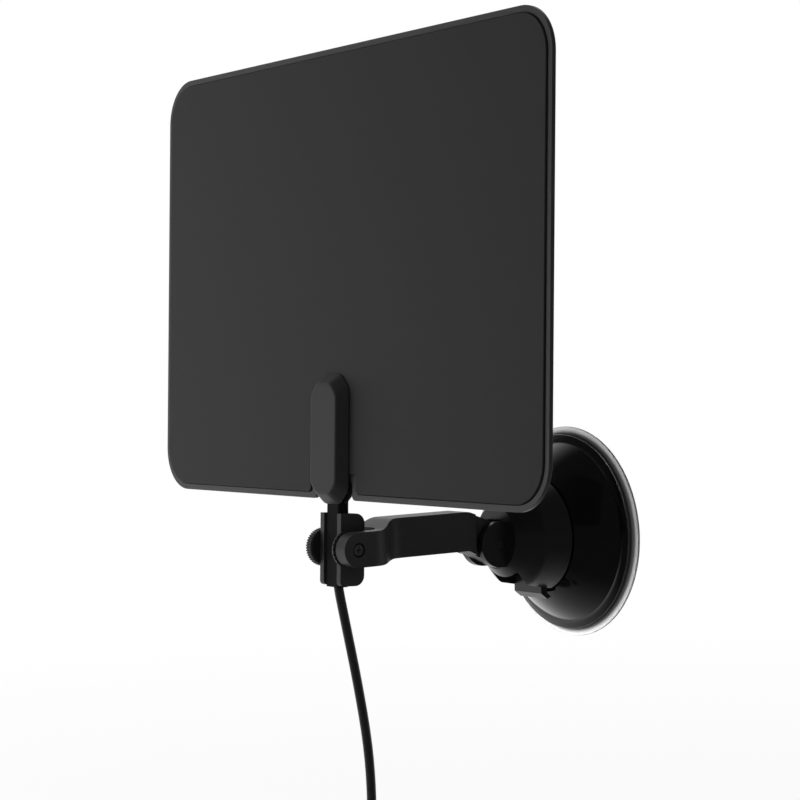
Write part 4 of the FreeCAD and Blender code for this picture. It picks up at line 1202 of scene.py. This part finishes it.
def make_floor_finish():
    """A pale floor that keeps the object's shadow and is white further out and in reflections."""
    material = bpy.data.materials.new("pale_floor")
    material.use_nodes = True
    tree = material.node_tree
    shader = tree.nodes["Principled BSDF"]
    shader.inputs["Base Color"].default_value = (0.86, 0.86, 0.86, 1.0)
    shader.inputs["Roughness"].default_value = 0.8
    shader.inputs["Specular IOR Level"].default_value = 0.0
    ray = tree.nodes.new("ShaderNodeLightPath")
    glossy = ray.outputs["Is Glossy Ray"]
    place = tree.nodes.new("ShaderNodeTexCoord").outputs["Object"]
    whiter = fade_node(tree, vector_node(tree, "LENGTH", place), *FLOOR_FADE, low=FLOOR_NEAR_WHITE)
    seen = math_node(tree, "MULTIPLY", ray.outputs["Is Camera Ray"], whiter)
    behind = vector_node(tree, "DOT_PRODUCT", place, BACKDROP_WAY)
    backdrop = fade_node(tree, behind, *FLOOR_BACKDROP, low=MIRRORED_DIM)
    mirrored = math_node(tree, "MULTIPLY", glossy, backdrop)
    plain = math_node(tree, "SUBTRACT", 1.0, glossy)
    glow = tree.nodes.new("ShaderNodeEmission")
    glow.inputs["Color"].default_value = WHITE
    tree.links.new(math_node(tree, "ADD", plain, mirrored), glow.inputs["Strength"])
    mixed = tree.nodes.new("ShaderNodeMixShader")
    tree.links.new(math_node(tree, "MAXIMUM", seen, glossy), mixed.inputs[0])
    tree.links.new(shader.outputs[0], mixed.inputs[1])
    tree.links.new(glow.outputs[0], mixed.inputs[2])
    tree.links.new(mixed.outputs[0], tree.nodes["Material Output"].inputs["Surface"])
    return material


floor_mesh = bpy.data.meshes.new("floor")
floor_mesh.from_pydata(
    [
        (x * FLOOR_HALF * MM, y * FLOOR_HALF * MM, FLOOR_HEIGHT * MM)
        for x, y in ((-1, -1), (1, -1), (1, 1), (-1, 1))
    ],
    [],
    [(0, 1, 2, 3)],
)
floor = new_piece("floor", floor_mesh)
floor.data.materials.append(make_floor_finish())


def make_room():
    """A white background that lights little and is mirrored white behind the object and dim before it."""
    world = bpy.data.worlds.new("studio")
    world.use_nodes = True
    tree = world.node_tree
    room = tree.nodes["Background"]
    room.inputs["Color"].default_value = WHITE
    ray = tree.nodes.new("ShaderNodeLightPath")
    glossy = ray.outputs["Is Glossy Ray"]
    seen = math_node(tree, "MAXIMUM", ray.outputs["Is Camera Ray"], ray.outputs["Is Transmission Ray"])
    way = tree.nodes.new("ShaderNodeTexCoord").outputs["Generated"]
    backdrop = fade_node(
        tree, vector_node(tree, "DOT_PRODUCT", way, BACKDROP_WAY), *ROOM_BACKDROP, low=MIRRORED_DIM
    )
    mirrored = math_node(tree, "MULTIPLY", glossy, backdrop)
    unseen = math_node(tree, "SUBTRACT", 1.0, math_node(tree, "ADD", seen, glossy))
    scattered = math_node(tree, "MULTIPLY", math_node(tree, "MAXIMUM", unseen, 0.0), ROOM_LIGHT)
    shown = math_node(tree, "ADD", seen, math_node(tree, "ADD", mirrored, scattered))
    tree.links.new(shown, room.inputs["Strength"])
    return world


scene.world = make_room()

OBJECT_MIDDLE = Vector((0.0, -0.09, 0.05))


def softbox(name, place, size, power):
    """A square lamp, in metres, that faces the object and is not mirrored in it."""
    lamp = bpy.data.lights.new(name, "AREA")
    lamp.shape = "SQUARE"
    lamp.size = size
    lamp.energy = power
    obj = bpy.data.objects.new(name, lamp)
    scene.collection.objects.link(obj)
    way = OBJECT_MIDDLE - Vector(place)
    obj.matrix_world = Matrix.Translation(place) @ way.to_track_quat("-Z", "Y").to_matrix().to_4x4()
    obj.visible_glossy = False


softbox("key", place=(-0.50, -0.70, 0.14), size=0.5, power=5.5)
softbox("fill", place=(1.30, -0.70, 0.60), size=0.9, power=0.8)
softbox("back", place=(-0.40, 1.10, 0.80), size=0.9, power=4.0)
